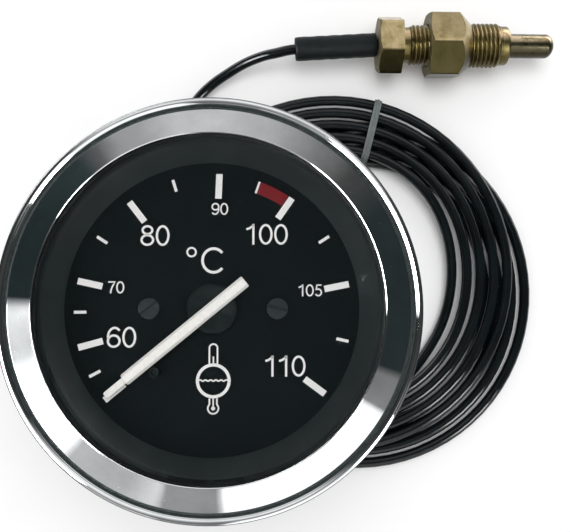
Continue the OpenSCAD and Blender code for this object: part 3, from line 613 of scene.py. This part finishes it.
def stroke(line, width, closed=False):
    """A printed line of even width."""
    n = len(line)
    sections = []
    for i, (x, y) in enumerate(line):
        before = line[(i - 1) % n] if closed or i > 0 else line[i]
        after = line[(i + 1) % n] if closed or i < n - 1 else line[i]
        dx, dy = after[0] - before[0], after[1] - before[1]
        half = width / 2 / (math.hypot(dx, dy) or 1.0)
        left, right = (x - dy * half, y + dx * half), (x + dy * half, y - dx * half)
        sections.append([(*left, PRINT_LOW), (*right, PRINT_LOW), (*right, PRINT_HIGH), (*left, PRINT_HIGH)])
    return loft(sections, ring=closed)


def hoop(centre, radius, width, steps):
    """A printed circle."""
    return stroke(arc(centre, radius, 0, 360, steps)[:-1], width, closed=True)


def bowl(cx, cy, rx, ry, *span):
    """Middle of a figure's oval stroke, of which cx to ry give the outside."""
    half_line = 0.055
    return oval(cx, cy, rx - half_line, ry - half_line, *span)


# Figures one unit high: how far each one moves the next one on, and the middles of its strokes
FIGURES = {
    "0": (0.73, [bowl(0.33, 0.5, 0.33, 0.5)]),
    "1": (0.65, [[(0.05, 0.74), (0.2, 0.79), (0.32, 0.87), (0.385, 0.97)], [(0.385, 0.0), (0.385, 1.0)]]),
    "5": (0.71, [[(0.57, 0.945), (0.2, 0.945), (0.13, 0.52)] + bowl(0.31, 0.33, 0.31, 0.33, 132, -150, 30)[2:]]),
    "6": (0.73, [bowl(0.33, 0.32, 0.33, 0.32), bowl(0.37, 0.5, 0.37, 0.5, 184, 44, 24)]),
    "7": (0.7, [[(0.03, 0.945), (0.62, 0.945), (0.47, 0.74), (0.34, 0.48), (0.26, 0.2), (0.24, 0.0)]]),
    "8": (0.73, [bowl(0.33, 0.285, 0.33, 0.285), bowl(0.33, 0.755, 0.285, 0.245)]),
    "9": (0.73, [bowl(0.33, 0.68, 0.33, 0.32), bowl(0.29, 0.5, 0.37, 0.5, 4, -136, 24)]),
    "C": (0.92, [bowl(0.47, 0.5, 0.47, 0.5, 40, 320, 40)]),
}


def written(word, middle, height, weight):
    """Printed strokes of a word of figures, centred on a point. A stroke that ends where it began is closed."""
    space_after = 0.07
    start = middle[0] - (sum(FIGURES[sign][0] for sign in word) - space_after) * height / 2
    shapes = []
    for sign in word:
        advance, lines = FIGURES[sign]
        for line in lines:
            closed = math.dist(line[0], line[-1]) < 1e-6
            spots = [(start + x * height, middle[1] + (y - 0.5) * height) for x, y in line]
            shapes.append(stroke(spots[:-1] if closed else spots, weight, closed))
        start += advance * height
    return shapes


class GAUGE_OT_dial_face(bpy.types.Operator):
    """Black dial with its scale, figures, red line and the sign of a thermometer in water"""
    bl_idname = "gauge.dial_face"
    bl_label = "Dial"

    def execute(self, context):
        head = context.scene.gauge_head
        edge, large, small = head.scale_radius / MM, head.large_figures / MM, head.small_figures / MM
        under, reach, hole = Z_DIAL - 0.8, 28.15, 2.2
        plate = [(hole, under), (hole, Z_DIAL), (27.9, Z_DIAL), (reach, Z_DIAL - 0.2), (reach, under)]
        piece("dial_disc", skin(plate, 128), "dial black", "head", "dial_plate")

        short = 2.0
        marks = [
            stroke([polar(edge - length, angle, PRINT_CENTRE), polar(edge, angle, PRINT_CENTRE)], width)
            for length, width, angles in (
                (4.07, 1.06, (219.5, 195.2, 167.5, 127.8, 87.8, 55.4, 11.3, -36.5)),
                (short, 0.48, (208, 180.5, 147.5, 107.5, 33, -12.6)),
                (short, 0.33, (70.6,)),
            )
            for angle in angles
        ]
        for height, weight, words in (
            (large, 0.36, {"60": (-14.6, -4.6), "80": (-9.4, 11.9), "100": (8.75, 12.15), "110": (11.75, -9.25)}),
            (small, 0.24, {"70": (-15.6, 3.45), "90": (1.1, 16.3), "105": (15.85, 3.0)}),
            (4.35, 0.44, {"C": (-0.05, 7.85)}),
        ):
            for word, middle in words.items():
                marks += written(word, middle, height, weight)
        marks.append(hoop((-3.45, 9.2), 0.7, 0.3, 40))
        piece("dial_marks", joined(marks), "white ink", "head", "dial_scale")

        outline = arc(PRINT_CENTRE, edge, 57, 70, 13) + arc(PRINT_CENTRE, edge - short, 70, 57, 13)
        piece("red_line", flat_shape(outline, PRINT_LOW, PRINT_HIGH), "red ink", "head", "red_zone")

        x, y = 0.2, -11.6
        waves, thin = 5.5, 0.24
        # The glass tube stands on the ring from above, and its bulb hangs from it below
        top, neck, stem = y + 2.7, y - 2.8, 0.65
        water = [(x - 2.3 + 4.6 * i / 48, y + 0.05 + 0.1 * math.sin(2 * math.pi * waves * i / 48)) for i in range(49)]
        tube = [(x - stem, top)] + arc((x, -6.35), stem, 180, 0, 12) + [(x + stem, top)]
        foot = [(x - 0.6, neck), (x - 0.6, -15.35)] + arc((x, -16.0), 0.86, 135, 405, 18)
        foot += [(x + 0.6, -15.35), (x + 0.6, neck)]
        sign = [
            hoop((x, y), 2.55, 0.5, 64), stroke(water, thin), stroke(tube, 0.26), stroke(foot, 0.26),
            stroke([(x, top), (x, -7.7)], thin), stroke([(x, neck), (x, -15.8)], thin),
            hoop((x, -16.0), 0.17, 0.33, 12),
        ]
        piece("water_sign", joined(sign), "white ink", "head", None)
        return {"FINISHED"}


class GAUGE_OT_pointer(bpy.types.Operator):
    """Bevelled cream pointer across a black boss, the pinned stop and the two dial screws"""
    bl_idname = "gauge.pointer"
    bl_label = "Pointer"

    def execute(self, context):
        boss = arc((3.95, 62.75), 0.15, -90, 0, 3) + arc((3.85, 63.25), 0.25, 0, 90, 4)
        boss += [(3.2, Z_BLADE), (3.05, 63.42), (0.0, 63.42), (0.0, 62.6)]
        piece("boss_disc", skin(boss, 96), "boss plastic", "pointer", "pointer_boss", 30)

        # Half of the blade's cross-section, and its size along the blade
        half = [(1.0, 0.0), (1.0, 0.62), (0.58, 1.06), (0.2, 1.1)]
        section = [(-y, z) for y, z in half] + half[::-1]
        blade = loft([
            [(x, y * fit, Z_BLADE + z * fit) for y, z in section]
            for x, fit in ((-6.9, 0.94), (-6.75, 1.0), (0.0, 1.0), (17.6, 1.0), (17.9, 0.9))
        ])
        tip = [(17.2, -0.55), (21.6, -0.55), (21.8, -0.4), (21.8, 0.4), (21.6, 0.55), (17.2, 0.55)]
        shape = joined([blade, flat_shape(tip, Z_BLADE, Z_BLADE + 0.38)])
        shape = placed(shape, (0, 0), math.degrees(context.scene.gauge_head.pointer_angle))
        soften(piece("pointer_bar", shape, "cream enamel", "pointer", "pointer_blade", 25), 0.06)

        # The pinned stop is a short tube, so its top is dished
        pin = [(0.0, Z_DIAL), (0.75, Z_DIAL), (0.88, 62.2), (0.88, 63.9)]
        pin += [(0.7, 64.1), (0.5, 64.02), (0.38, 63.7), (0.0, 63.65)]
        stud = skin(pin, 32, ring=False, spot=polar(13.6, 228.2))
        piece("stop_stud", stud, "boss plastic", "head", "stop_pin")

        # A screw head is two half rounds, with the slot between them, on a flat disc
        radius, half_slot, slot_floor = 1.7, 0.24, Z_DIAL + 0.25
        start = math.degrees(math.asin(half_slot / radius))
        half_round = flat_shape(arc((0, 0), radius, start, 180 - start, 20), slot_floor, Z_DIAL + 0.85)
        disc = [(0.0, Z_DIAL), (radius, Z_DIAL), (radius, Z_DIAL + 0.3), (0.0, Z_DIAL + 0.3)]
        shapes = []
        for x, turn in ((-10.2, 37.0), (10.5, -15.0)):
            shapes += [placed(half_round, (x, 0), turn), placed(half_round, (x, 0), turn + 180)]
            shapes.append(skin(disc, 40, ring=False, spot=(x, 0)))
        shape = joined(shapes)
        soften(piece("dial_screw_heads", shape, "screw black", "head", "dial_screws", 30), 0.08)
        return {"FINISHED"}


# ---- case and back


class GAUGE_OT_case(bpy.types.Operator):
    """Drawn steel case, seen from the sides and the back"""
    bl_idname = "gauge.case"
    bl_label = "Case"

    def execute(self, context):
        columns, inside, floor = 160, CASE_RADIUS - CASE_WALL, Z_BACK + CASE_WALL
        profile = (
            [(0.0, Z_BACK), (28.9, Z_BACK)] + arc((29.0, Z_BACK + 1.0), 1.0, -84, 0, 8)
            + [(CASE_RADIUS, 30.0), (CASE_RADIUS, 45.0), (CASE_RADIUS, 60.75), (32.3, 60.75), (32.3, 61.5)]
            + [(inside, 61.5), (inside, Z_SEAT), (inside, Z_BACK + 1.8), (28.2, floor), (0.0, floor)]
        )
        points, faces = skin(profile, columns)
        # The first and last rows go round the hole that the lamp holder is pushed into
        for i in range(columns):
            u, v = polar(28.2, 360 * i / columns)
            way = Vector((u - LAMP[0], v - LAMP[1])).normalized() * LAMP_HOLE
            points[i] = (LAMP[0] + way.x, LAMP[1] + way.y, Z_BACK)
            points[i - columns] = (LAMP[0] + way.x, LAMP[1] + way.y, floor)
        piece("case_can", (points, faces), "enamel", "head", "case_shell", 32)
        return {"FINISHED"}


class GAUGE_OT_back_fittings(bpy.types.Operator):
    """Mounting studs with nuts, the clamp bracket's washers and its knurled nuts"""
    bl_idname = "gauge.back_fittings"
    bl_label = "Back fittings"

    def execute(self, context):
        stud = [(0.0, 0.0), (1.55, 0.0), (1.7, 0.15)] + thread_rows(2.0, 0.2, 17.6, 0.7, 8)
        stud += [(1.6, 17.8), (1.95, 17.9), (1.95, 21.0), (0.0, 21.0)]
        nut = [(2.0, 17.2)] + hex_rows(7.0, 17.2, Z_BACK) + [(2.0, Z_BACK)]
        washer = [(2.15, 9.8), (4.1, 9.8), (4.2, 9.9), (4.2, 10.2), (4.1, 10.3), (2.15, 10.3)]
        for name, rows, columns, ring, body, node, crease in (
            ("stud_rods", stud, 36, False, "head", "mounting_studs", 60),
            ("stud_hex_nuts", nut, 96, True, "head", "stud_nuts", 28),
            ("clamp_rings", washer, 48, True, "bracket", "clamp_washers", 35),
        ):
            pair = joined([skin(rows, columns, ring, spot=(x, 0)) for x in (-STUD_X, STUD_X)])
            piece(name, pair, "zinc", body, node, crease)

        grip = ((4.92, 7.1), (5.0, 7.3), (5.0, 9.1), (4.92, 9.3))
        rows = [(2.05, 6.6), (3.9, 6.6), (4.45, 6.75)]
        rows += [fluted(reach, height, 36, lambda deep: 0.32 * deep ** 1.5) for reach, height in grip]
        rows += [(4.45, 9.65), (3.9, 9.8), (2.05, 9.8)]
        for side, x in (("left", -STUD_X), ("right", STUD_X)):
            shape = skin(rows, 288, spot=(x, 0))
            piece("knurled_nut_" + side, shape, "clock brass", "nut_" + side, "thumb_nut_" + side, 32)
        return {"FINISHED"}


class GAUGE_OT_lamp(bpy.types.Operator):
    """Push-in lamp holder with its contact blade"""
    bl_idname = "gauge.lamp"
    bl_label = "Lamp"

    def execute(self, context):
        grip = ((5.95, 18.1), (6.0, 18.3), (6.0, 19.5), (5.95, 19.7))
        rows = [(0.0, 14.5), (3.3, 14.5), (3.8, 14.7), (4.0, 15.1), (4.0, 17.7), (5.6, 17.8)]
        rows += [fluted(reach, height, 18, lambda deep: 0.35 if deep > 0.55 else 0.0) for reach, height in grip]
        rows += [(5.6, 19.9), (4.95, 19.95), (4.95, 23.6), (4.7, 23.8), (3.2, 23.8), (3.2, 21.3), (0.0, 21.3)]
        shape = skin(rows, 216, ring=False, spot=LAMP)
        piece("lamp_socket", shape, "lamp plastic", "lamp", "lamp_holder", 30)
        return {"FINISHED"}


class GAUGE_OT_pressure_tube(bpy.types.Operator):
    """Flattened pressure tube of the movement, built in one shape; the real one straightens a little as its closed
    end moves out
    """
    bl_idname = "gauge.pressure_tube"
    bl_label = "Pressure tube"

    def execute(self, context):
        start, end, steps = -70.0, 124.3, 96
        section = arc((TUBE_BEND, 33.1), 0.9, 0, 180, 8) + arc((TUBE_BEND, 28.9), 0.9, 180, 360, 8)
        angles = [start + (end - start) * i / steps for i in range(steps + 1)]
        shape = loft([[(*polar(radius, angle), z) for radius, z in section] for angle in angles])
        tube = piece("pressure_tube", shape, "bronze", None, "bourdon_tube")
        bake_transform(tube)
        return {"FINISHED"}


class GAUGE_OT_kept_parts(bpy.types.Operator):
    """Finishes for the frame's own parts that keep their shape"""
    bl_idname = "gauge.kept_parts"
    bl_label = "Kept parts"

    looks = {
        "rubber": ("bezel_gasket", "case_seal"),
        "clock brass": (
            "pinion_arbor", "hairspring_stud", "sector_gear", "tip_link", "bourdon_end", "back_plate", "front_plate",
            "plate_pillars", "dial_posts", "lamp_terminal", "thrust_washer",
        ),
        "zinc": ("sector_arbor", "socket_screws", "pillar_screws", "standoffs", "case_screws", "clamp_bracket"),
        "blued steel": ("hairspring",),
        "hex brass": ("socket_block",),
        "lamp glass": ("lamp_bulb",),
        "copper": ("capillary_core",),
    }

    def execute(self, context):
        for look, names in self.looks.items():
            for name in names:
                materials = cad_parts[name].data.materials
                materials.clear()
                materials.append(use(look))
        return {"FINISHED"}


# ---- capillary


def coil_centre(scene):
    """Centre of the coil's upper layer in millimetres: the tail leaves the gland straight into it."""
    loop = scene.gauge_capillary
    joins = polar(TAIL_RUN + loop.sheath / MM, COIL_START - 90, GLAND)
    return polar(-loop.outer_loop / MM, COIL_START, joins)


def capillary_route(scene):
    """Centreline of the whole capillary in millimetres, by the same route as part.scad's."""
    loop = scene.gauge_capillary
    width, outer, per_loop = loop.sheath / MM, loop.outer_loop / MM, loop.points_per_loop
    pitch = width + loop.gap / MM
    # The lower layer lies on the tie, and a little to the right of and below the upper one
    tie_under, clearance, shift = 0.6, 0.1, (5.4, -3.4)
    low = tie_under + clearance + width / 2
    high = low + pitch
    # Loops in the upper layer, and in all
    reverse, end = 4 + (COIL_START + 36) / 360, 9 + (COIL_START - 180) / 360
    # The loops spread a little on the right, where the photograph shows them all
    fan = 0.3
    centre = coil_centre(scene)

    def ease(t):
        t = min(1.0, max(0.0, t))
        return t * t * (3 - 2 * t)

    def loop_point(s):
        angle = COIL_START - 360 * s
        spacing = pitch + fan * max(0.0, math.cos(math.radians(angle))) ** 4
        x, y = polar(outer - (reverse - abs(s - reverse)) * spacing, angle, centre)
        across, drop = ease(4 * (s - reverse)), ease(4 * (s - reverse) + 1)
        return Vector((x + across * shift[0], y + across * shift[1], high - drop * pitch))

    down = ((0, 17.2), (0, 14.6), (0.6, 11.2), (2.3, 8.2), (4.9, 6.1), (8.0, 4.9), (9.8, high), (TAIL_RUN, high))
    tail = [(*polar(distance, COIL_START - 90, GLAND), height) for distance, height in down]
    coil = [loop_point(i / per_loop) for i in range(int(end * per_loop) + 1)] + [loop_point(end)]
    way = (loop_point(end + 0.001) - loop_point(end - 0.001)).normalized()
    last = coil[-1] + width * way
    axis = BULB_AXIS[1]
    lead = [
        last, last + width * way, (-10.8, 13.5, 1.9), (-11.5, 19, 1.9), (-12.2, 24.5, 1.9), (-12.6, 30, 1.9),
        (-12.6, 35.5, 1.9), (-11.8, 41, 1.9), (-10, 46, 2), (-7.4, 50.6, 2.2), (-4, 54, 2.7), (0, 56.6, 3.7),
        (4, 58.6, 5.1), (8, 59.8, 6.6), (11, 60.3, 7.4), (15.6, 61.1, axis), (24.95, 61.7, axis), (34.3, 62.3, axis),
    ]
    return smooth_path(tail, 6) + coil + smooth_path(lead, 6) + [Vector((x, 62.3, axis)) for x in (40.0, 48.0, 54.4)]


class GAUGE_OT_capillary(bpy.types.Operator):
    """Sheathed capillary from the case to the bulb, and its gland"""
    bl_idname = "gauge.capillary"
    bl_label = "Capillary"

    def execute(self, context):
        route = capillary_route(context.scene)
        curve = bpy.data.curves.new("capillary_line", "CURVE")
        curve.dimensions = "3D"
        curve.bevel_depth = context.scene.gauge_capillary.sheath / 2
        curve.bevel_resolution = 3
        curve.use_fill_caps = True
        spline = curve.splines.new("POLY")
        spline.points.add(len(route) - 1)
        for spot, place in zip(spline.points, route):
            spot.co = (*(place * MM), 1.0)
        spline.use_smooth = True
        curve.materials.append(use("pvc"))
        line = put("capillary_line", curve)
        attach(line, "head")
        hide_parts("capillary_tail", "capillary_coil", "capillary_lead")

        rows = [(0.65, 18.2), (1.5, 17.35)] + hex_rows(8.0, 17.2, Z_BACK, GLAND_TURN)
        rows += [(2.5, Z_BACK), (2.5, 23.7), (0.65, 23.8)]
        shape = skin(rows, 96, spot=GLAND)
        piece("gland_hex", shape, "hex brass", "head", "capillary_gland", 28)
        return {"FINISHED"}


class GAUGE_OT_tie(bpy.types.Operator):
    """Grey twisted tie drawn round both layers of the coil"""
    bl_idname = "gauge.tie"
    bl_label = "Tie"

    def execute(self, context):
        centre, route = coil_centre(context.scene), capillary_route(context.scene)
        way, across = polar(1.0, TIE_ANGLE), polar(1.0, TIE_ANGLE + 90)
        # How far out and how high each loop passes the tie, among those that do
        loops, least, most, longest_step = [], 20, 45, 6
        for a, b in zip(route, route[1:]):
            sides = [(p.x - centre[0]) * across[0] + (p.y - centre[1]) * across[1] for p in (a, b)]
            reach = (b.x - centre[0]) * way[0] + (b.y - centre[1]) * way[1]
            crosses = sides[0] * sides[1] <= 0 and abs(sides[0]) < longest_step
            if crosses and least < reach < most:
                loops.append((reach, b.z))
        cord = context.scene.gauge_capillary.sheath / 2 / MM
        # Cross-section of the strip: a flat web with its wire's ridge along the middle
        half = [(0.8, 0.06), (0.8, 0.3), (0.3, 0.3), (0.15, 0.5)]
        strip = [(-side, rise) for side, rise in half] + half[::-1]
        turns, sections = 90, []
        for i in range(turns):
            u, v = polar(1.0, 360 * i / turns)
            reach, height = max(loops, key=lambda spot: spot[0] * u + spot[1] * v)
            sections.append([])
            for side, rise in strip:
                spot = polar(reach + (cord + rise) * u, TIE_ANGLE, centre)
                sections[-1].append((*polar(side, TIE_ANGLE + 90, spot), height + (cord + rise) * v))
        inner = min(reach for reach, height in loops) - cord
        knot = [(-1, -1), (-0.6, -1.35), (0.6, -1.35), (1, -1), (1, 1), (0.6, 1.35), (-0.6, 1.35), (-1, 1)]
        knot = placed(flat_shape(knot, 2.0, 4.2), polar(inner - 1.3, TIE_ANGLE, centre), TIE_ANGLE)
        piece("twist_tie", joined([loft(sections, ring=True), knot]), "tie", "head", "coil_tie", 40)
        return {"FINISHED"}


class GAUGE_OT_thermometer_end(bpy.types.Operator):
    """Sleeve, gland nut, screw-in adaptor and thermometer bulb"""
    bl_idname = "gauge.thermometer_end"
    bl_label = "Thermometer end"

    def execute(self, context):
        left, right = Vector((15.6, 61.1, BULB_AXIS[1])), Vector((34.3, 62.3, BULB_AXIS[1]))
        way = right - left
        long = way.length
        rows = [(1.65, 0.0), (2.5, 0.0), (2.62, 0.12), (2.7, 0.6)]
        # Shrinking leaves the sleeve slightly uneven
        for i in range(17):
            swell = 0.1 * math.sin(i * 1.9) * (0.3 + 0.4 * (i % 3 == 0))
            rows.append((2.72 + swell, 1.2 + (long - 2.2) * i / 16))
        rows += [(2.75, long - 0.4), (2.55, long), (1.65, long)]
        points, faces = skin(rows, 48)
        aim = Vector((0, 0, 1)).rotation_difference(way).to_matrix()
        points = [tuple(left + aim @ Vector(p)) for p in points]
        piece("sleeve_tube", (points, faces), "sleeve", "sleeve", "boot_sleeve", 50)

        # Along x: the nut's hexagon starts and ends, and its thread ends
        start, end, thread_end, turn = 34.7, 40.1, 48.4, 25.5
        rows = [(1.6, start)] + hex_rows(12.0, start, end, turn, (0.12, 0.03))
        rows += [(4.25, end), (4.05, end + 0.15), (4.0, end + 0.4), (4.0, end + 1.7)]
        rows += thread_rows(4.55, end + 1.75, thread_end, 1.0) + [(3.8, thread_end + 0.1), (1.6, thread_end + 0.1)]
        self.fitting("pressure_nut_body", rows, 120, turn, "pressure_nut", "gland_nut", end)

        # The adaptor's hexagon starts and ends, its thread ends, and its pilot ends
        start, end, thread_end, pilot_end, turn = 46.1, 55.8, 62.8, 64.8, 10.5
        bore, floor = 4.66, 55.6
        rows = [(bore, start + 0.3), (4.85, start)] + hex_rows(14.0, start, end, turn, (0.12, 0.381), (30, 45))
        rows += [(4.75, end + 0.02), (4.5, end + 0.2)] + thread_rows(5.0, end + 0.2, thread_end, 1.0)
        rows += [(4.3, thread_end + 0.02), (4.4, thread_end + 0.12), (4.4, pilot_end - 0.5), (4.25, pilot_end - 0.2)]
        rows += [(3.95, pilot_end), (2.8, pilot_end), (2.8, floor), (bore, floor)]
        self.fitting("adaptor_body", rows, 144, turn, "head", "bulb_adaptor", end)

        tube, tip, nose = 2.73, 75.68, 2.1
        rows = [(0.0, 54.4), (4.2, 54.4), (4.3, 54.5), (4.3, 55.5), (4.2, floor)]
        rows += [(tube, floor), (tube, 60.0), (tube, 66.0)] + oval(0.0, tip - nose, tube, nose, 0, 90, 10)
        shape = skin(rows, 64, ring=False, spot=BULB_AXIS, along="x")
        piece("bulb_tube", shape, "bulb brass", "head", "thermometer_bulb", 40)
        return {"FINISHED"}

    def fitting(self, name, rows, columns, turn, body, node, hex_end):
        """Brass fitting on the bulb's axis. Its turned part, beyond the end of its hexagon, has the thread's finish,
        and the faces of the hexagon that look back along the tube a matt, dark one: painted shade."""
        shape = skin(rows, columns, spot=BULB_AXIS, along="x", start=turn)
        thing = piece(name, shape, "hex brass", body, node, 28)
        thing.data.materials.append(use("thread brass"))
        thing.data.materials.append(use("aged brass"))
        for face in thing.data.polygons:
            if face.center.x / MM > hex_end + 0.05:
                face.material_index = 1
            # Faces that look back along the tube get painted shade
            elif face.normal.x < -0.4:
                face.material_index = 2


# ---- studio


# What polished metal mirrors: brightness of the studio's panels by azimuth in degrees, at the
# horizon, low, halfway up and near the ceiling
HORIZON = (
    (-180, 0.12), (10, 0.12), (30, 9), (62, 9), (78, 0.3), (100, 0.3), (114, 7), (142, 7), (160, 0.12), (180, 0.12),
)
LOW_WALLS = (
    (-180, 1.3), (-171, 1.0), (-167, 1.25), (-165, 1.8), (-139, 1.8), (-137, 0.66), (-118, 0.68), (-109, 1.0),
    (-107, 0.42), (-90.5, 0.4), (-89, 1.8), (-33, 1.8), (-31, 0.33), (-21, 0.26), (-18.5, "#303839"), (32, "#2f3738"),
    (47.5, 0.08), (55, 0.2), (63, 0.34), (78, 0.6), (96, 0.78), (104, 0.7), (115, 0.5), (122, 0.42), (128, 0.15),
    (134, "#3b4748"), (152, "#2b3536"), (176.5, "#2b3536"), (178, 1.0), (180, 1.3),
)
MIDDLE_WALLS = (
    (-180, 28), (-133, 28), (-131, 0.5), (-110, 0.2), (-90, 0.2), (-86, 1.5), (-50, 1.5), (-47, 18), (-33, 18),
    (-31, 0.1), (-5, 0.05), (35, 0.05), (55, 1.2), (122, 1.2), (135, 0.1), (150, 0.05), (177, 0.05), (178.5, 28),
    (180, 28),
)
HIGH_WALLS = (
    (-180, 0.05), (-160, 0.1), (-145, 0.6), (-115, 0.5), (-100, 0.35), (-80, 0.35), (-65, 0.6), (-35, 0.6),
    (-20, 0.08), (25, 0.06), (42, 1.2), (62, 1.2), (76, 0.9), (100, 0.5), (125, 0.3), (140, 0.06), (180, 0.05),
)


class GAUGE_OT_studio(bpy.types.Operator):
    """Camera at the photograph's angle, pale floor, even studio light and the surroundings that metal mirrors"""
    bl_idname = "gauge.studio"
    bl_label = "Studio"

    def execute(self, context):
        scene = context.scene
        studio = scene.gauge_studio
        lens = bpy.data.cameras.new("camera")
        lens.lens, lens.sensor_width, lens.clip_start = studio.lens, 36.0, 0.01
        eye = put("camera", lens)
        eye.location = studio.eye
        back = (Vector(studio.eye) - Vector(studio.target)).normalized()
        right = Vector((0, 1, 0)).cross(back).normalized()
        eye.rotation_euler = Matrix((right, back.cross(right), back)).transposed().to_euler()
        scene.camera = eye

        # The floor lies a hair below the gauge, so that nothing cuts into it
        reach, drop = 1.5, -0.00008
        corners = [(x * reach, y * reach, drop) for x, y in ((-1, -1), (1, -1), (1, 1), (-1, 1))]
        mesh = bpy.data.meshes.new("floor")
        mesh.from_pydata(corners, [], [(0, 1, 2, 3)])
        tones = (Grain(30.0), (0.3, "#f8f8f8"), (0.7, "#fbfbfb"))
        mesh.materials.append(surface("white studio paper", tones, Roughness=0.9, Specular_IOR_Level=0.0))
        put("floor", mesh)

        light = bpy.data.lights.new("overhead softbox", "AREA")
        light.shape, light.size, light.energy = "DISK", 0.5, 2.6
        softbox = put("overhead softbox", light)
        softbox.location, aim = (0.05, 0.1, 0.75), Vector((0.02, 0.01, 0.03))
        softbox.rotation_euler = (aim - softbox.location).to_track_quat("-Z", "Y").to_euler()
        softbox.visible_glossy = False

        self.surround(scene, studio)
        scene.view_settings.view_transform = "Standard"
        return {"FINISHED"}

    def surround(self, scene, studio):
        """World: white to the eye, even for soft light, and lit panels with dark gaps for mirrors."""
        world = bpy.data.worlds.new("studio surroundings")
        scene.world = world
        world.use_nodes = True
        # Sampled along reflections only, because what the world shows depends on the kind of ray
        world.cycles.sampling_method = "NONE"
        tree = world.node_tree
        tree.nodes.clear()
        where = add(tree, "ShaderNodeTexCoord").outputs["Generated"]
        split = add(tree, "ShaderNodeSeparateXYZ", {"Vector": where})
        links = {0: split.outputs["Y"], 1: split.outputs["X"]}
        azimuth = add(tree, "ShaderNodeMath", links, operation="ARCTAN2").outputs[0]
        links = {"Value": azimuth, "From Min": -math.pi, "From Max": math.pi, "To Min": 0.0, "To Max": 1.0}
        round_about = add(tree, "ShaderNodeMapRange", links).outputs["Result"]

        panels = []
        for zone in (HORIZON, LOW_WALLS, MIDDLE_WALLS, HIGH_WALLS):
            stops = [((degrees + 180) / 360, value) for degrees, value in zone]
            panels.append(add(tree, "ShaderNodeValToRGB", {"Fac": round_about}, stops))
        walls = panels[0].outputs["Color"]
        # Each zone fades into the next one up between two heights in degrees
        for zone, *heights in zip(panels[1:], (9, 30, 54), (12, 36, 62)):
            low, high = (math.sin(math.radians(height)) for height in heights)
            links = {"Value": split.outputs["Z"], "From Min": low, "From Max": high}
            step = add(tree, "ShaderNodeMapRange", links, interpolation_type="SMOOTHSTEP").outputs["Result"]
            links = {"Factor": step, "A": walls, "B": zone.outputs["Color"]}
            walls = add(tree, "ShaderNodeMix", links, data_type="RGBA").outputs[2]

        # The glass mirrors the unlit ceiling straight above
        ceiling = Vector((-0.06, 0.022, 1.0)).normalized()
        close = add(tree, "ShaderNodeVectorMath", {0: where, 1: ceiling}, operation="DOT_PRODUCT").outputs["Value"]
        links = {"Value": close, "From Min": 0.967, "From Max": 0.976}
        unlit = add(tree, "ShaderNodeMapRange", links).outputs["Result"]
        links = {"Factor": unlit, "A": walls, "B": (0.02, 0.02, 0.02, 1)}
        mirrored = add(tree, "ShaderNodeMix", links, data_type="RGBA").outputs[2]
        even, white, studio_walls = (
            add(tree, "ShaderNodeBackground", {"Color": colour, "Strength": strength}).outputs[0]
            for colour, strength in (((1, 1, 1, 1), studio.surroundings), ((1, 1, 1, 1), 1.0), (mirrored, 1.0))
        )
        rays = add(tree, "ShaderNodeLightPath").outputs
        links = {0: 1.0, 1: rays["Diffuse Depth"]}
        direct = add(tree, "ShaderNodeMath", links, operation="SUBTRACT", use_clamp=True).outputs[0]
        mirror = add(tree, "ShaderNodeMath", {0: rays["Is Glossy Ray"], 1: direct}, operation="MULTIPLY").outputs[0]
        gloss = add(tree, "ShaderNodeMixShader", {0: mirror, 1: even, 2: studio_walls}).outputs[0]
        seen = add(tree, "ShaderNodeMixShader", {0: rays["Is Camera Ray"], 1: gloss, 2: white}).outputs[0]
        add(tree, "ShaderNodeOutputWorld", {"Surface": seen})


class GAUGE_PT_sidebar(bpy.types.Panel):
    """Buttons and sizes of the gauge in the 3D view's sidebar"""
    bl_label = "Capillary gauge"
    bl_idname = "GAUGE_PT_sidebar"
    bl_space_type = "VIEW_3D"
    bl_region_type = "UI"
    bl_category = "Gauge"

    def draw(self, context):
        for name, settings in SETTINGS.items():
            box = self.layout.box()
            for value in settings.__annotations__:
                box.prop(getattr(context.scene, name), value)
        for operator in OPERATORS:
            self.layout.operator(operator.bl_idname)


OPERATORS = (
    GAUGE_OT_studio, GAUGE_OT_capillary, GAUGE_OT_tie, GAUGE_OT_thermometer_end, GAUGE_OT_bezel, GAUGE_OT_window,
    GAUGE_OT_dial_face, GAUGE_OT_pointer, GAUGE_OT_case, GAUGE_OT_back_fittings, GAUGE_OT_lamp,
    GAUGE_OT_pressure_tube, GAUGE_OT_kept_parts,
)
SETTINGS = {
    "gauge_head": GaugeHeadSettings, "gauge_colours": GaugeColours,
    "gauge_capillary": CapillarySettings, "gauge_studio": StudioSettings,
}
CLASSES = (*SETTINGS.values(), *OPERATORS, GAUGE_PT_sidebar)


def register():
    for item in CLASSES:
        bpy.utils.register_class(item)
    for name, group in SETTINGS.items():
        setattr(bpy.types.Scene, name, PointerProperty(type=group))


def unregister():
    for name in SETTINGS:
        delattr(bpy.types.Scene, name)
    for item in reversed(CLASSES):
        bpy.utils.unregister_class(item)


def main():
    register()
    for operator in OPERATORS:
        group, name = operator.bl_idname.split(".")
        getattr(getattr(bpy.ops, group), name)()
    declare_cord()


def declare_cord():
    """Works out the capillary's route, and does nothing more with it."""
    route = capillary_route(bpy.context.scene)


if __name__ == "__main__":
    main()
